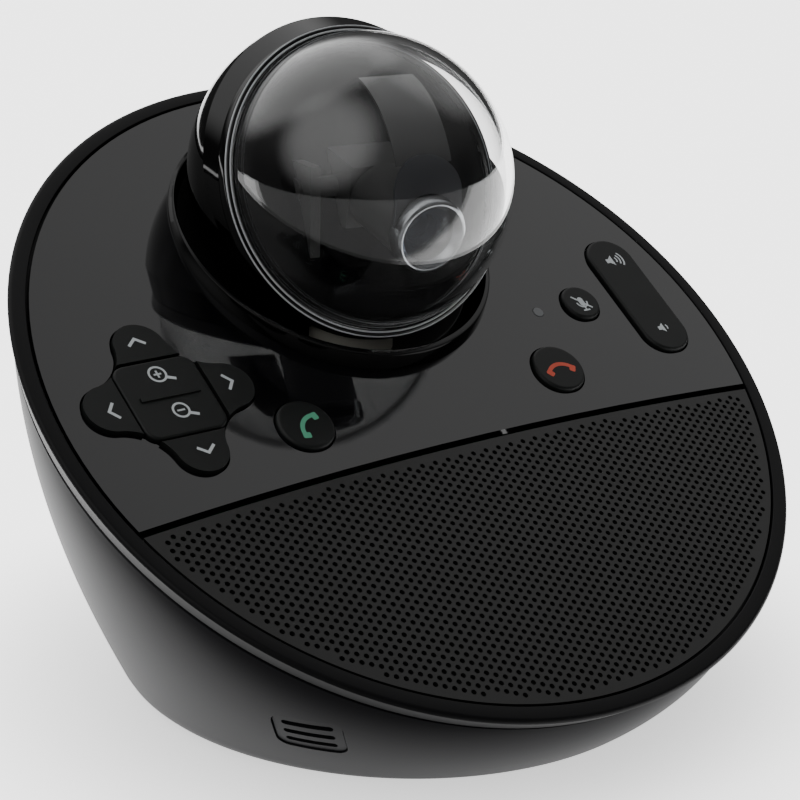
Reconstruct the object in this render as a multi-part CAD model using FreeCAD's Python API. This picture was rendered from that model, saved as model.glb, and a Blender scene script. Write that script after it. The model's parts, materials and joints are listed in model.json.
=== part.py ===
"""Desktop conference camera: a motorised pan and tilt camera ball sunk in a wedge-shaped speakerphone base.

Millimetres. +Z is up and -Y is the front. The origin is on the table, at the centre of the foot.
Three local frames are used:
  panel frame: u right, v up the slope, n out of the sloping top, origin at the middle of the top
  head frame:  origin where the pan axis meets the centre of the ball cup, lens towards -Y
  dome frame:  origin at the centre of the clear dome, z along the dome's own axis
"""
import FreeCAD, Part
import functools
import math
import os

from FreeCAD import Vector

os.makedirs("parts", exist_ok=True)

# Base
TILT = 34.0                  # slope of the top
PANEL_Y = -3.8               # middle of the top, behind the foot centre
PANEL_Z = 60.0               # middle of the top, above the table
RIM_R = 76.4                 # outside of the bezel ring
SEAM_R = 73.3                # inside of the bezel ring
TRIM_R = 72.8                # outside of the panel and the grille
BAND_H = 4.4                 # height of the bezel's side band
BAND_DRAFT = 1.5             # how far the band leans in towards its lower edge
SEAM_GAP = 0.5               # groove between the band and the housing
HOUSING_R = 74.6             # top of the housing
FOOT_R = 52.2                # bottom of the housing
BULGE = 1.6                  # how early the wall swings out
WALL = 2.4
FOOT_H = 1.4                 # height of the rubber foot
PLATE_T = 2.0                # bottom plate

# Panel layout, in the panel frame
PANEL_T = 1.6
GRILLE_T = 1.0
ARC_R = 876.0                # radius of the line between panel and grille
ARC_V = -17.0                # where that line crosses the middle
ARC_GAP = 1.2
KEY_GAP = 0.35
KEY_TOP = 0.9                # how far the keys stand proud
KEY_BOTTOM = -2.2
ANSWER_KEY = (-29.6, -7.0, 5.8)
HANGUP_KEY = (29.6, -7.0, 5.8)
MUTE_KEY = (45.3, 6.9, 4.5)
STATUS_LIGHT = (34.6, 7.1, 1.2)
VOLUME_KEY = (60.1, 6.1, 5.85, 30.7)     # centre, half width, length
STAR = (-51.4, 4.5)          # centre of the direction pad
LOBE_AT = 11.7               # lobe centres from the middle of the pad
LOBE_R = 5.3
VALLEY_AT = 10.8             # the hollows between lobes, from the middle of the pad
ZOOM_HALF = 8.5              # half the width of the square zoom key
ZOOM_ROUND = 3.0

# Speaker, in the panel frame
SPEAKER_V = -44.0
CONE_R = 17.5

# Ball head
CUP_Y, CUP_Z = 16.7, 91.3    # centre of the ball cup, on the pan axis
CUP_R = 33.5                 # clear radius inside the cup
CUP_WALL = 1.8
COLLAR_V, COLLAR_R, COLLAR_H = 33.0, 32.4, 3.5
COLLAR_FALL = 2.57           # the collar's top edge drops towards the back
MOUTH_SHIFT = 1.3            # the collar's mouth lies behind its middle
PAN_REST = -7.0              # the head rests turned a little to its right
SHELL_AT, SHELL_R, SHELL_T = (0.0, 3.2, 1.0), 29.6, 1.8
DOME_AT, DOME_R, DOME_T = (0.0, -4.2, 0.75), 27.8, 1.5
DOME_ELEVATION = 22.0        # the dome looks up by this much
RING_R = 29.3                # outside of the dome's trim ring
SHELL_CUT = -5.5             # dome-frame height where the round shell ends
BAND_TOP = -0.8              # dome-frame height where the shell band ends
MASK_R, MASK_T = 25.0, 1.1
SLOT_HALF, SLOT_LOW, SLOT_HIGH = 7.5, -17.0, 43.0
LENS_ELEVATION = -12.0       # the lens rests looking down by this much
LENS_FRONT = 24.3
SHAFT_R, BUSH_R, SHAFT_BORE = 6.0, 7.5, 3.0
RUNNING = 0.05               # radial clearance of a shaft in its bush

# Gears
PAN_MODULE, PAN_TEETH, PAN_PINION_TEETH = 0.8, 38, 10
TILT_MODULE, TILT_TEETH, TILT_PINION_TEETH = 0.6, 32, 10
MESH_SLACK = 0.1
PAN_CENTRES = PAN_MODULE * (PAN_TEETH + PAN_PINION_TEETH) / 2 + MESH_SLACK
TILT_CENTRES = TILT_MODULE * (TILT_TEETH + TILT_PINION_TEETH) / 2 + MESH_SLACK
GEAR_Z0, GEAR_Z1 = CUP_Z - 46.0, CUP_Z - 43.0
TILT_GEAR_X0, TILT_GEAR_X1 = 9.0, 11.0
PINION_DIRECTION = -40.0     # of the tilt pinion, from straight back, downwards

# Bearings
CUP_BOSS_Z0 = CUP_Z - 42.0   # bottom of the cup's bearing boss
ARM_X0, ARM_X1 = 12.0, 14.0  # the yoke's arms
PIN_R = 2.0                  # tilt pins
PIVOT_R, PIVOT_N = 1.4, -0.6     # round rib that a rocker key rocks on

# Vents, screws and ports in the wall
VENT_AZIMUTHS = {"mic_vent_left": -51.5, "mic_vent_right": 51.5}
VENT_Z = 14.5
VENT_W, VENT_H, VENT_CORNER = 12.0, 9.5, 2.0
VENT_SLOT_W, VENT_SLOT_H, VENT_PITCH, VENT_SLOTS = 9.0, 1.3, 2.7, 3
VENT_DEPTH = 6.0
SCREW_AT = 45.0              # radius of the four base screws
SCREW_ANGLES = (45, 135, 240, 300)
PAD_R = 41.0                 # rubber foot
PORT_W, PORT_LOW, PORT_HIGH = 46.0, 15.0, 29.0
PORT_Y0, PORT_Y1 = 47.6, 49.4
PORT_Z = 22.0
USB_X, AUDIO_X, POWER_X, LOCK_X = -14.0, -1.0, 11.0, 19.0
USB_W, USB_H = 7.9, 4.0
AUDIO_R, AUDIO_DEEP = 1.8, 13.0
POWER_R = 3.2

O = Vector(0, 0, 0)
X = Vector(1, 0, 0)
Y = Vector(0, 1, 0)
Z = Vector(0, 0, 1)
BIG = 400.0


# Small shapes

def cylinder(r, z0, z1, x=0.0, y=0.0):
    return Part.makeCylinder(r, z1 - z0, Vector(x, y, z0), Z)


def tube(r_out, r_in, z0, z1, x=0.0, y=0.0):
    return cylinder(r_out, z0, z1, x, y).cut(cylinder(r_in, z0 - 1, z1 + 1, x, y))


def rod_x(r, x0, x1, y=0.0, z=0.0):
    return Part.makeCylinder(r, x1 - x0, Vector(x0, y, z), X)


def rod_y(r, y0, y1, x=0.0, z=0.0):
    return Part.makeCylinder(r, y1 - y0, Vector(x, y0, z), Y)


def box(x0, x1, y0, y1, z0, z1):
    return Part.makeBox(x1 - x0, y1 - y0, z1 - z0, Vector(x0, y0, z0))


def ball(r, at=(0.0, 0.0, 0.0)):
    return Part.makeSphere(r, Vector(*at))


def above(z):
    return box(-BIG, BIG, -BIG, BIG, z, z + BIG)


def below(z):
    return box(-BIG, BIG, -BIG, BIG, z - BIG, z)


def fused(shapes):
    whole = shapes[0]
    for shape in shapes[1:]:
        whole = whole.fuse(shape)
    return whole.removeSplitter()


def revolved(points):
    """Turn a closed outline of (radius, height) points about the z axis."""
    corners = [Vector(r, 0, z) for r, z in points]
    face = Part.Face(Part.makePolygon(corners + corners[:1]))
    return face.revolve(O, Z, 360)


def circle_loft(sections):
    """Loft through circles given as (radius, x, y, z)."""
    wires = [Part.Wire(Part.makeCircle(r, Vector(x, y, z), Z)) for r, x, y, z in sections]
    return Part.makeLoft(wires, True, True)


def softened(shape, radius, edges):
    """Round the chosen edges, or leave the shape alone where they can't be rounded."""
    try:
        rounded = shape.makeFillet(radius, edges)
    except Part.OCCError:
        return shape
    return rounded if rounded.isValid() else shape


# Frames

def on_panel(shape):
    """Carry a shape from the panel frame to the base."""
    moved = shape.copy()
    moved.rotate(O, X, TILT)
    moved.translate(Vector(0, PANEL_Y, PANEL_Z))
    return moved


def on_head(shape):
    moved = shape.copy()
    moved.rotate(O, Z, PAN_REST)
    moved.translate(Vector(0, CUP_Y, CUP_Z))
    return moved


def on_dome(shape):
    """Carry a shape from the dome frame to the base."""
    moved = shape.copy()
    moved.rotate(O, X, 90 - DOME_ELEVATION)
    moved.translate(Vector(*DOME_AT))
    return on_head(moved)


def on_tilt_axis(shape):
    """Carry a shape centred on the tilt axis to the base."""
    moved = shape.copy()
    moved.translate(Vector(*DOME_AT))
    return on_head(moved)


def on_carriage(shape):
    """Carry a shape built with the lens level to its rest place."""
    moved = shape.copy()
    moved.rotate(O, X, -LENS_ELEVATION)
    return on_tilt_axis(moved)


def save(name, shape):
    solids = shape.Solids
    whole = solids[0] if len(solids) == 1 else Part.makeCompound(solids)
    print(f"{name:20s} solids {len(solids)} volume {whole.Volume:10.1f} valid {whole.isValid()}")
    whole.exportStep(f"parts/{name}.step")


# Base

def wall_section(share, inset):
    """One slanted ellipse of the housing wall, from the foot (share 0) to the rim (share 1)."""
    tilt = math.radians(TILT)
    rim_n = -(BAND_H + SEAM_GAP)
    rim_y = PANEL_Y - rim_n * math.sin(tilt)
    rim_z = PANEL_Z + rim_n * math.cos(tilt)
    swing = 1 - (1 - share) ** BULGE
    half_x = FOOT_R + (HOUSING_R - FOOT_R) * swing
    along = Vector(0, (1 - swing) * FOOT_R + swing * HOUSING_R * math.cos(tilt),
                   share * HOUSING_R * math.sin(tilt))
    centre = Vector(0, swing * rim_y, FOOT_H + share * (rim_z - FOOT_H))
    half_along = along.Length - inset
    direction = along.normalize()
    major = half_x - inset
    minor = min(half_along, major - 1e-3)
    ellipse = Part.Ellipse(centre + X * major, centre + direction * minor, centre)
    return Part.Wire(ellipse.toShape())


@functools.lru_cache(maxsize=None)
def bowl(inset):
    """The housing's outside, or its inside when inset by the wall."""
    edge_round = [(0.0, 1.5), (0.012, 0.7), (0.035, 0.15)]
    wires = [wall_section(share, inset + more) for share, more in edge_round]
    steps = 9
    for step in range(1, steps + 1):
        share = 0.035 + (1 - 0.035) * step / steps
        wires.append(wall_section(share, inset))
    return Part.makeLoft(wires, True, False)


@functools.lru_cache(maxsize=None)
def wall_frame(azimuth, height):
    """The placement of a point on the housing wall: x sideways, y up the wall, z outward."""
    outside = bowl(0.0)
    turn = math.radians(azimuth)
    reach = Vector(math.sin(turn), -math.cos(turn), 0)

    def hit(z):
        start = Vector(0, 0, z)
        inside = Part.makeLine(start, start + reach * 120).common(outside)
        return max((v.Point for v in inside.Vertexes), key=lambda p: p.dot(reach))

    at = hit(height)
    side = Z.cross(reach).normalize()
    up = (hit(height + 1) - hit(height - 1)).normalize()
    outward = side.cross(up).normalize()
    frame = FreeCAD.Matrix(side.x, up.x, outward.x, at.x,
                           side.y, up.y, outward.y, at.y,
                           side.z, up.z, outward.z, at.z, 0, 0, 0, 1)
    return FreeCAD.Placement(frame)


def placed(shape, placement):
    moved = shape.copy()
    moved.Placement = placement.multiply(moved.Placement)
    return moved


def rounded_block(half_w, half_h, corner, z0, z1):
    """A block with rounded upright edges, centred on the z axis."""
    shape = box(-half_w, half_w, -half_h, half_h, z0, z1)
    upright = [e for e in shape.Edges if abs(e.tangentAt(e.FirstParameter).z) > 0.9]
    return shape.makeFillet(min(corner, half_w * 0.99, half_h * 0.99), upright)


# Vents and ports in the wall

def screw_spots():
    for angle in SCREW_ANGLES:
        turn = math.radians(angle)
        yield SCREW_AT * math.cos(turn), SCREW_AT * math.sin(turn), angle


def vent_block(azimuth, slack=0.0):
    block = rounded_block(VENT_W / 2 + slack, VENT_H / 2 + slack, VENT_CORNER + slack, -VENT_DEPTH, 4)
    return placed(block, wall_frame(azimuth, VENT_Z))


def vent_slots(azimuth):
    slots = []
    for index in range(VENT_SLOTS):
        drop = (index - (VENT_SLOTS - 1) / 2) * VENT_PITCH
        slot = rounded_block(VENT_SLOT_W / 2, VENT_SLOT_H / 2, VENT_SLOT_H / 2, -VENT_DEPTH - 1, 5)
        slot.translate(Vector(0, drop, 0))
        slots.append(placed(slot, wall_frame(azimuth, VENT_Z)))
    return slots


def lower_housing():
    outside = bowl(0.0)
    shell = outside.cut(bowl(WALL))
    lip = on_panel(tube(HOUSING_R - 1.3, HOUSING_R - WALL - 0.6, -BAND_H - 3.0, -BAND_H))
    bosses = [lip]
    for x, y, angle in screw_spots():
        boss = cylinder(3.4, FOOT_H + PLATE_T, 20, x, y)
        rib = box(0, 24, -1.0, 1.0, FOOT_H + PLATE_T, 13)
        rib.rotate(O, Z, angle)
        rib.translate(Vector(x, y, 0))
        bosses.append(boss.fuse(rib.common(bowl(WALL / 2))).cut(cylinder(1.3, 0, 16, x, y)))
    shell = fused([shell] + bosses)
    for azimuth in VENT_AZIMUTHS.values():
        shell = shell.cut(vent_block(azimuth, 0.25))
    port = box(-PORT_W / 2, PORT_W / 2, 44, 90, PORT_LOW, PORT_HIGH)
    edges = [e for e in port.Edges if abs(e.tangentAt(e.FirstParameter).y) > 0.9]
    save("lower_housing", shell.cut(port.makeFillet(2.5, edges)))


def mic_vents():
    shell = bowl(0.35).cut(bowl(WALL))
    for name, azimuth in VENT_AZIMUTHS.items():
        vent = shell.common(vent_block(azimuth))
        for slot in vent_slots(azimuth):
            vent = vent.cut(slot)
        save(name, vent)
    capsules = []
    for azimuth in VENT_AZIMUTHS.values():
        capsules.append(placed(cylinder(3.0, -WALL - 3.6, -WALL - 1.2), wall_frame(azimuth, VENT_Z)))
    save("mic_capsules", Part.makeCompound(capsules))


def bottom_parts():
    plate_r = FOOT_R - WALL - 1.6
    plate = cylinder(plate_r, FOOT_H, FOOT_H + PLATE_T)
    plate = softened(plate, 0.6, [e for e in plate.Edges if e.BoundBox.ZMax < FOOT_H + 0.1])
    screws = []
    for x, y, _ in screw_spots():
        plate = plate.cut(cylinder(1.5, 0, 9, x, y)).cut(cylinder(2.9, 0, FOOT_H + 1.0, x, y))
        shank = cylinder(1.2, FOOT_H + 0.9, 14, x, y)
        screws.append(shank.fuse(cylinder(2.6, FOOT_H + 0.1, FOOT_H + 1.0, x, y)))
    save("bottom_plate", plate)
    save("housing_screws", Part.makeCompound(screws))
    pad = cylinder(PAD_R, 0, FOOT_H)
    save("rubber_foot", softened(pad, 0.5, [e for e in pad.Edges if e.BoundBox.ZMax < 0.1]))
    ballast = cylinder(37, FOOT_H + PLATE_T, FOOT_H + PLATE_T + 2.4)
    ballast = ballast.cut(box(-8, 8, 26, 40, 0, 20)).cut(cylinder(4, 0, 20))
    save("ballast_plate", ballast)


def bezel():
    ring = revolved([(SEAM_R, 0), (RIM_R - 0.9, 0), (RIM_R, -0.7), (RIM_R - BAND_DRAFT, -BAND_H),
                     (71.0, -BAND_H),
                     (71.0, -3.2), (70.3, -3.2), (70.3, -PANEL_T), (SEAM_R, -PANEL_T)])
    save("bezel_ring", on_panel(ring))


def star_outline(inset):
    """The direction pad's four-lobed outline, drawn in by the inset."""
    bend_at = valley_bend()
    bend_r = bend_at - VALLEY_AT + inset
    half = bend_at / math.sqrt(2)
    corners = [(LOBE_AT, 0), (half, half), (0, LOBE_AT), (-half, half),
               (-LOBE_AT, 0), (-half, -half), (0, -LOBE_AT), (half, -half)]
    ring = [Vector(x, y, 0) for x, y in corners]
    middle = Part.Face(Part.makePolygon(ring + ring[:1])).extrude(Vector(0, 0, 1))
    for sx in (1, -1):
        for sy in (1, -1):
            middle = middle.cut(cylinder(bend_r, -1, 2, sx * half, sy * half))
    lobes = [cylinder(LOBE_R - inset, 0, 1, LOBE_AT * dx, LOBE_AT * dy)
             for dx, dy in ((1, 0), (0, 1), (-1, 0), (0, -1))]
    return fused([middle] + lobes)


def valley_bend():
    """Distance to the centres of the hollow arcs, so that they run smoothly into the lobes."""
    reach = LOBE_AT ** 2 - (VALLEY_AT - LOBE_R) ** 2
    return reach / (2 * LOBE_AT / math.sqrt(2) - 2 * (VALLEY_AT - LOBE_R))


def stretched(shape, z0, z1):
    """Stretch a one-high slab to reach from z0 to z1."""
    matrix = FreeCAD.Matrix()
    matrix.scale(1, 1, z1 - z0)
    tall = shape.transformGeometry(matrix)
    tall.translate(Vector(0, 0, z0))
    return tall


def star_block(inset, z0, z1):
    slab = stretched(star_outline(inset), z0, z1)
    slab.translate(Vector(STAR[0], STAR[1], 0))
    return slab


def zoom_block(inset, z0, z1):
    block = rounded_block(ZOOM_HALF - inset, ZOOM_HALF - inset, ZOOM_ROUND - inset, z0, z1)
    block.translate(Vector(STAR[0], STAR[1], 0))
    return block


def volume_block(inset, z0, z1):
    u, v, half, length = VOLUME_KEY
    block = rounded_block(half - inset, length / 2 - inset, half - inset, z0, z1)
    block.translate(Vector(u, v, 0))
    return block


def top_side():
    """The half plane behind the line between the panel and the grille."""
    return cylinder(ARC_R, -BIG, BIG, 0, ARC_V - ARC_R)


def panel_parts():
    panel = cylinder(TRIM_R, -PANEL_T, 0).cut(top_side()).cut(cylinder(COLLAR_R - 1.2, -9, 9, 0, COLLAR_V))
    panel = panel.cut(star_block(0, -9, 9)).cut(volume_block(0, -9, 9))
    for u, v, r in (ANSWER_KEY, HANGUP_KEY, MUTE_KEY, STATUS_LIGHT):
        panel = panel.cut(cylinder(r, -9, 9, u, v))
    save("control_panel", on_panel(panel))
    front = cylinder(ARC_R - ARC_GAP, -BIG, BIG, 0, ARC_V - ARC_R)
    sheet = cylinder(TRIM_R, -GRILLE_T - 0.2, -0.2).common(front)
    inner = cylinder(TRIM_R - 1.3, -9, 9).common(cylinder(ARC_R - ARC_GAP - 1.3, -BIG, BIG, 0, ARC_V - ARC_R))
    rim = cylinder(TRIM_R, -PANEL_T, -0.2).common(front).cut(inner)
    save("speaker_grille", on_panel(sheet.fuse(rim).removeSplitter()))
    baffle = cylinder(70.0, -3.6, -GRILLE_T - 0.2).common(
        cylinder(ARC_R - ARC_GAP - 1.6, -BIG, BIG, 0, ARC_V - ARC_R))
    save("speaker_baffle", on_panel(baffle.cut(cylinder(CONE_R + 3.6, -9, 9, 0, SPEAKER_V))))
    light = cylinder(STATUS_LIGHT[2] - 0.1, -4.4, 0.1, STATUS_LIGHT[0], STATUS_LIGHT[1])
    save("status_light", on_panel(light))


def speaker():
    surround = revolved([(CONE_R - 0.6, -4.4), (CONE_R + 0.6, -3.7), (CONE_R + 2.2, -3.3), (CONE_R + 3.4, -3.7),
                         (CONE_R + 3.5, -4.4), (CONE_R + 2.2, -3.9), (CONE_R + 0.6, -4.3), (CONE_R - 0.4, -4.9)])
    cone = revolved([(CONE_R - 0.8, -4.5), (CONE_R - 0.8, -5.1), (6.0, -11.0), (5.2, -11.8), (4.9, -11.4),
                     (0.0, -8.6), (0.0, -7.9), (5.4, -10.4)])
    basket = revolved([(CONE_R + 1.0, -4.6), (CONE_R + 6.0, -4.6), (CONE_R + 6.0, -3.7), (CONE_R + 7.2, -3.7),
                       (CONE_R + 7.2, -5.6), (CONE_R + 1.6, -5.6), (12.0, -13.4), (12.0, -14.5), (6.5, -14.5),
                       (6.5, -13.6), (11.0, -13.0)])
    for angle in range(0, 360, 60):
        window = box(12.5, CONE_R + 0.4, -4.2, 4.2, -13.0, -6.0)
        window.rotate(O, Z, angle + 30)
        basket = basket.cut(window)
    magnet = cylinder(13.0, -20.5, -14.5)
    edge = [e for e in magnet.Edges if e.BoundBox.ZLength < 0.1]
    magnet = softened(magnet, 0.8, edge).cut(cylinder(2.5, -17, -14))
    for name, shape in (("speaker_surround", surround), ("speaker_cone", cone),
                        ("speaker_basket", basket), ("speaker_magnet", magnet)):
        shape.translate(Vector(0, SPEAKER_V, 0))
        save(name, on_panel(shape))


def direction_keys(z0, z1):
    """The four lobes left of the pad once the zoom key's square is taken out."""
    lobes = star_block(KEY_GAP, z0, z1).cut(zoom_block(-KEY_GAP * 0.6, z0 - 1, z1 + 1)).Solids
    names = {}
    for lobe in lobes:
        du = lobe.CenterOfMass.x - STAR[0]
        dv = lobe.CenterOfMass.y - STAR[1]
        if abs(du) > abs(dv):
            names["pan_right_key" if du > 0 else "pan_left_key"] = lobe
        else:
            names["tilt_up_key" if dv > 0 else "tilt_down_key"] = lobe
    return names


def crowned(key, radius):
    top = [e for e in key.Edges if e.BoundBox.ZMin > KEY_TOP - 0.05]
    return softened(key, radius, top)


def keys():
    for name, lobe in direction_keys(KEY_BOTTOM, KEY_TOP).items():
        save(name, on_panel(crowned(lobe, 0.5)))
    for name, (u, v, r) in (("answer_key", ANSWER_KEY), ("hangup_key", HANGUP_KEY), ("mute_key", MUTE_KEY)):
        save(name, on_panel(crowned(cylinder(r - KEY_GAP, KEY_BOTTOM, KEY_TOP, u, v), 0.6)))
    zoom = crowned(zoom_block(0.25, KEY_BOTTOM + 0.8, KEY_TOP), 0.5)
    zoom = zoom.fuse(rod_x(PIVOT_R, STAR[0] - 7, STAR[0] + 7, STAR[1], PIVOT_N))
    ridge = box(-5.9, 5.9, -0.45, 0.45, KEY_TOP - 0.3, KEY_TOP + 0.35)
    ridge.translate(Vector(STAR[0], STAR[1] + 0.25, 0))
    save("zoom_rocker", on_panel(zoom.fuse(ridge)))
    u, v, half, _ = VOLUME_KEY
    volume = crowned(volume_block(KEY_GAP, KEY_BOTTOM + 0.8, KEY_TOP), 0.6)
    save("volume_rocker", on_panel(volume.fuse(rod_x(PIVOT_R, u - half + 1, u + half - 1, v, PIVOT_N))))


def key_spots():
    """Where the dome switches sit under the keys."""
    spots = [(u, v) for u, v, _ in (ANSWER_KEY, HANGUP_KEY, MUTE_KEY)]
    spots += [(STAR[0] + dx * 12.5, STAR[1] + dy * 12.5) for dx, dy in ((1, 0), (-1, 0), (0, 1), (0, -1))]
    spots += [(STAR[0], STAR[1] + dy) for dy in (5, -5)]
    spots += [(VOLUME_KEY[0], VOLUME_KEY[1] + dy) for dy in (10, -10)]
    return spots


def key_board_parts():
    keep_out = cylinder(COLLAR_R + 1.8, -20, 9, 0, COLLAR_V)
    plate = cylinder(68.5, -6.0, -4.8).cut(top_side()).cut(keep_out)
    save("key_board", on_panel(plate))
    domes = [cylinder(2.4, -4.8, -4.3, u, v) for u, v in key_spots()]
    save("dome_switches", on_panel(Part.makeCompound(domes)))
    mat = cylinder(69.0, -4.2, -3.2).cut(top_side()).cut(keep_out)
    left = mat.common(box(-BIG, -22, -14.5, 30, -9, 9))
    light_hole = cylinder(2.0, -9, 9, STATUS_LIGHT[0], STATUS_LIGHT[1])
    right = mat.common(box(22, BIG, -14.5, 30, -9, 9)).cut(light_hole)
    save("key_mat", on_panel(Part.makeCompound(left.Solids + right.Solids)))


# Boards and ports

def boards_and_ports():
    board = box(-27, 27, -6, 36, 11.4, 13.0)
    for dx in (-24, 24):
        board = board.cut(cylinder(1.3, 10, 15, dx, 0))
    processor = box(-20, -6, 4, 18, 13.0, 14.6)
    memory = box(8, 18, 6, 16, 13.0, 14.4)
    inductor = box(-26, -21, 22, 30, 13.0, 16.0)
    chips = [processor, memory, inductor]
    save("main_board", fused([board] + chips))
    plate = box(-PORT_W / 2 - 1.5, PORT_W / 2 + 1.5, PORT_Y0, PORT_Y1, PORT_LOW - 1.5, PORT_HIGH + 1.5)
    plate = plate.common(bowl(WALL + 0.05))
    usb_low = PORT_Z - USB_H / 2
    usb_high = PORT_Z + USB_H / 2
    plate = plate.cut(box(USB_X - USB_W / 2, USB_X + USB_W / 2, 40, 60, usb_low, usb_high))
    plate = plate.cut(rod_y(3.1, 40, 60, AUDIO_X, PORT_Z)).cut(rod_y(POWER_R + 0.9, 40, 60, POWER_X, PORT_Z))
    plate = plate.cut(box(LOCK_X - 1.5, LOCK_X + 1.5, 40, 60, PORT_Z - 3.5, PORT_Z + 3.5))
    save("port_panel", plate)
    usb = box(USB_X - 4.9, USB_X + 4.9, 39, PORT_Y0, PORT_Z - 2.9, PORT_Z + 2.9)
    usb = usb.cut(box(USB_X - USB_W / 2, USB_X + USB_W / 2, 40.5, 60, PORT_Z - USB_H / 2, PORT_Z + USB_H / 2))
    save("usb_socket", usb.fuse(box(USB_X - 2.8, USB_X + 2.8, 40.5, 46.8, PORT_Z - 0.7, PORT_Z + 0.7)))
    jack = box(AUDIO_X - 3.4, AUDIO_X + 3.4, PORT_Y1 - AUDIO_DEEP, PORT_Y0, PORT_Z - 3.4, PORT_Z + 3.4)
    jack = jack.fuse(rod_y(3.0, PORT_Y0 - 1, PORT_Y1 + 0.6, AUDIO_X, PORT_Z))
    save("audio_jack", jack.cut(rod_y(AUDIO_R, PORT_Y1 - AUDIO_DEEP + 1, 60, AUDIO_X, PORT_Z)))
    power = box(POWER_X - 4.6, POWER_X + 4.6, 36.5, PORT_Y0, PORT_Z - 4.6, PORT_Z + 5.2)
    power = power.fuse(rod_y(POWER_R + 0.8, PORT_Y0 - 1, PORT_Y1 + 0.3, POWER_X, PORT_Z))
    power = power.cut(rod_y(POWER_R, 38, 60, POWER_X, PORT_Z))
    save("power_socket", power.fuse(rod_y(1.0, 37.5, PORT_Y0, POWER_X, PORT_Z)))


# Cup, bearing and pan drive

def cup_ball(r):
    return ball(r, (0, CUP_Y, CUP_Z))


def neck_parts():
    collar = revolved([(25, -PANEL_T), (COLLAR_R - 1.3, -PANEL_T), (COLLAR_R - 1.3, 0), (COLLAR_R, 0),
                       (COLLAR_R - 0.1, 0.6), (COLLAR_R - 0.7, COLLAR_H - 0.5), (COLLAR_R - 0.9, COLLAR_H),
                       (25, COLLAR_H)])
    mouth = revolved([(0, -2.0), (29.2, -2.0), (31.9, 4.0), (0, 4.0)])
    mouth.translate(Vector(0, MOUTH_SHIFT, 0))
    top = above(0)
    top.rotate(O, X, -COLLAR_FALL)
    top.translate(Vector(0, -COLLAR_R, COLLAR_H))
    collar = collar.cut(mouth).cut(top)
    collar.translate(Vector(0, COLLAR_V, 0))
    save("head_collar", on_panel(collar))
    cup = cup_ball(CUP_R + CUP_WALL).common(on_panel(below(-PANEL_T - 0.1)))
    flange = cylinder(COLLAR_R + 1.6, -PANEL_T - 1.6, -PANEL_T - 0.1, 0, COLLAR_V)
    boss = cylinder(BUSH_R + 2.0, CUP_BOSS_Z0, CUP_Z - 30, 0, CUP_Y)
    cup = fused([cup, on_panel(flange), boss]).cut(cup_ball(CUP_R))
    cup = cup.cut(cylinder(BUSH_R, CUP_BOSS_Z0 - 1, CUP_Z - 20, 0, CUP_Y))
    save("neck_cup", cup)
    bush = tube(BUSH_R, SHAFT_R + RUNNING, CUP_BOSS_Z0, CUP_Z - CUP_R - 0.6, 0, CUP_Y)
    save("pan_bush", bush)
    motor_x = PAN_CENTRES
    bracket = box(motor_x - 9, motor_x + 9.5, CUP_Y - 9, CUP_Y + 9, GEAR_Z0 - 1.3, GEAR_Z0 - 0.4)
    bracket = bracket.cut(cylinder(2.0, 0, 90, motor_x, CUP_Y))
    posts = [cylinder(2.0, GEAR_Z0 - 0.5, CUP_Z, motor_x + 5.0, CUP_Y + dy) for dy in (-6.5, 6.5)]
    bracket = fused([bracket] + posts).cut(cup_ball(CUP_R + CUP_WALL)).cut(on_panel(above(-PANEL_T - 1.7)))
    save("motor_bracket", max(bracket.Solids, key=lambda s: s.Volume))
    motor = cylinder(8.8, GEAR_Z0 - 15, GEAR_Z0 - 1.3, motor_x, CUP_Y)
    save("pan_motor", motor)


def gear(module, teeth, z0, z1, phase=0.0, present=None):
    """A spur gear with straight-sided teeth, some of which can be left off."""
    pitch_r = module * teeth / 2
    tip, root = pitch_r + 0.8 * module, pitch_r - 1.15 * module
    step = 2 * math.pi / teeth
    half_root, half_pitch, half_tip = step * 0.27, step * 0.19, step * 0.10
    outline = []
    for index in range(teeth):
        middle = index * step + phase
        if present is None or index in present:
            flank = ((root, half_root), (pitch_r, half_pitch), (tip, half_tip))
            outline += [(r, middle - half) for r, half in flank]
            outline += [(r, middle + half) for r, half in reversed(flank)]
        else:
            outline += [(root, middle - half_root), (root, middle + half_root)]
    points = [Vector(r * math.cos(a), r * math.sin(a), z0) for r, a in outline]
    return Part.Face(Part.makePolygon(points + points[:1])).extrude(Vector(0, 0, z1 - z0))


def pan_drive():
    wheel = gear(PAN_MODULE, PAN_TEETH, -46, -43).cut(cylinder(SHAFT_R, -60, 0))
    wheel.rotate(O, Z, -PAN_REST)
    save("pan_gear", on_head(wheel))
    pinion = gear(PAN_MODULE, PAN_PINION_TEETH, GEAR_Z0, GEAR_Z1, math.pi / PAN_PINION_TEETH)
    pinion = pinion.fuse(cylinder(1.5, GEAR_Z0 - 1.3, GEAR_Z1 + 0.5)).removeSplitter()
    pinion.rotate(O, Z, 180)
    pinion.translate(Vector(PAN_CENTRES, CUP_Y, 0))
    save("pan_pinion", pinion)
    flange = cylinder(8.0, -CUP_R + 1.7, -27)
    shaft = cylinder(SHAFT_R, -47, -30).fuse(flange).cut(cylinder(SHAFT_BORE, -60, 0))
    save("pan_shaft", on_head(shaft.cut(ball(SHELL_R, SHELL_AT))))


# Ball head

def in_dome_frame(point):
    """Where a head-frame point lies along the dome frame's up and outward axes."""
    lean = math.radians(DOME_ELEVATION)
    dy, dz = point[1] - DOME_AT[1], point[2] - DOME_AT[2]
    return dy * math.sin(lean) + dz * math.cos(lean), -dy * math.cos(lean) + dz * math.sin(lean)


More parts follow.
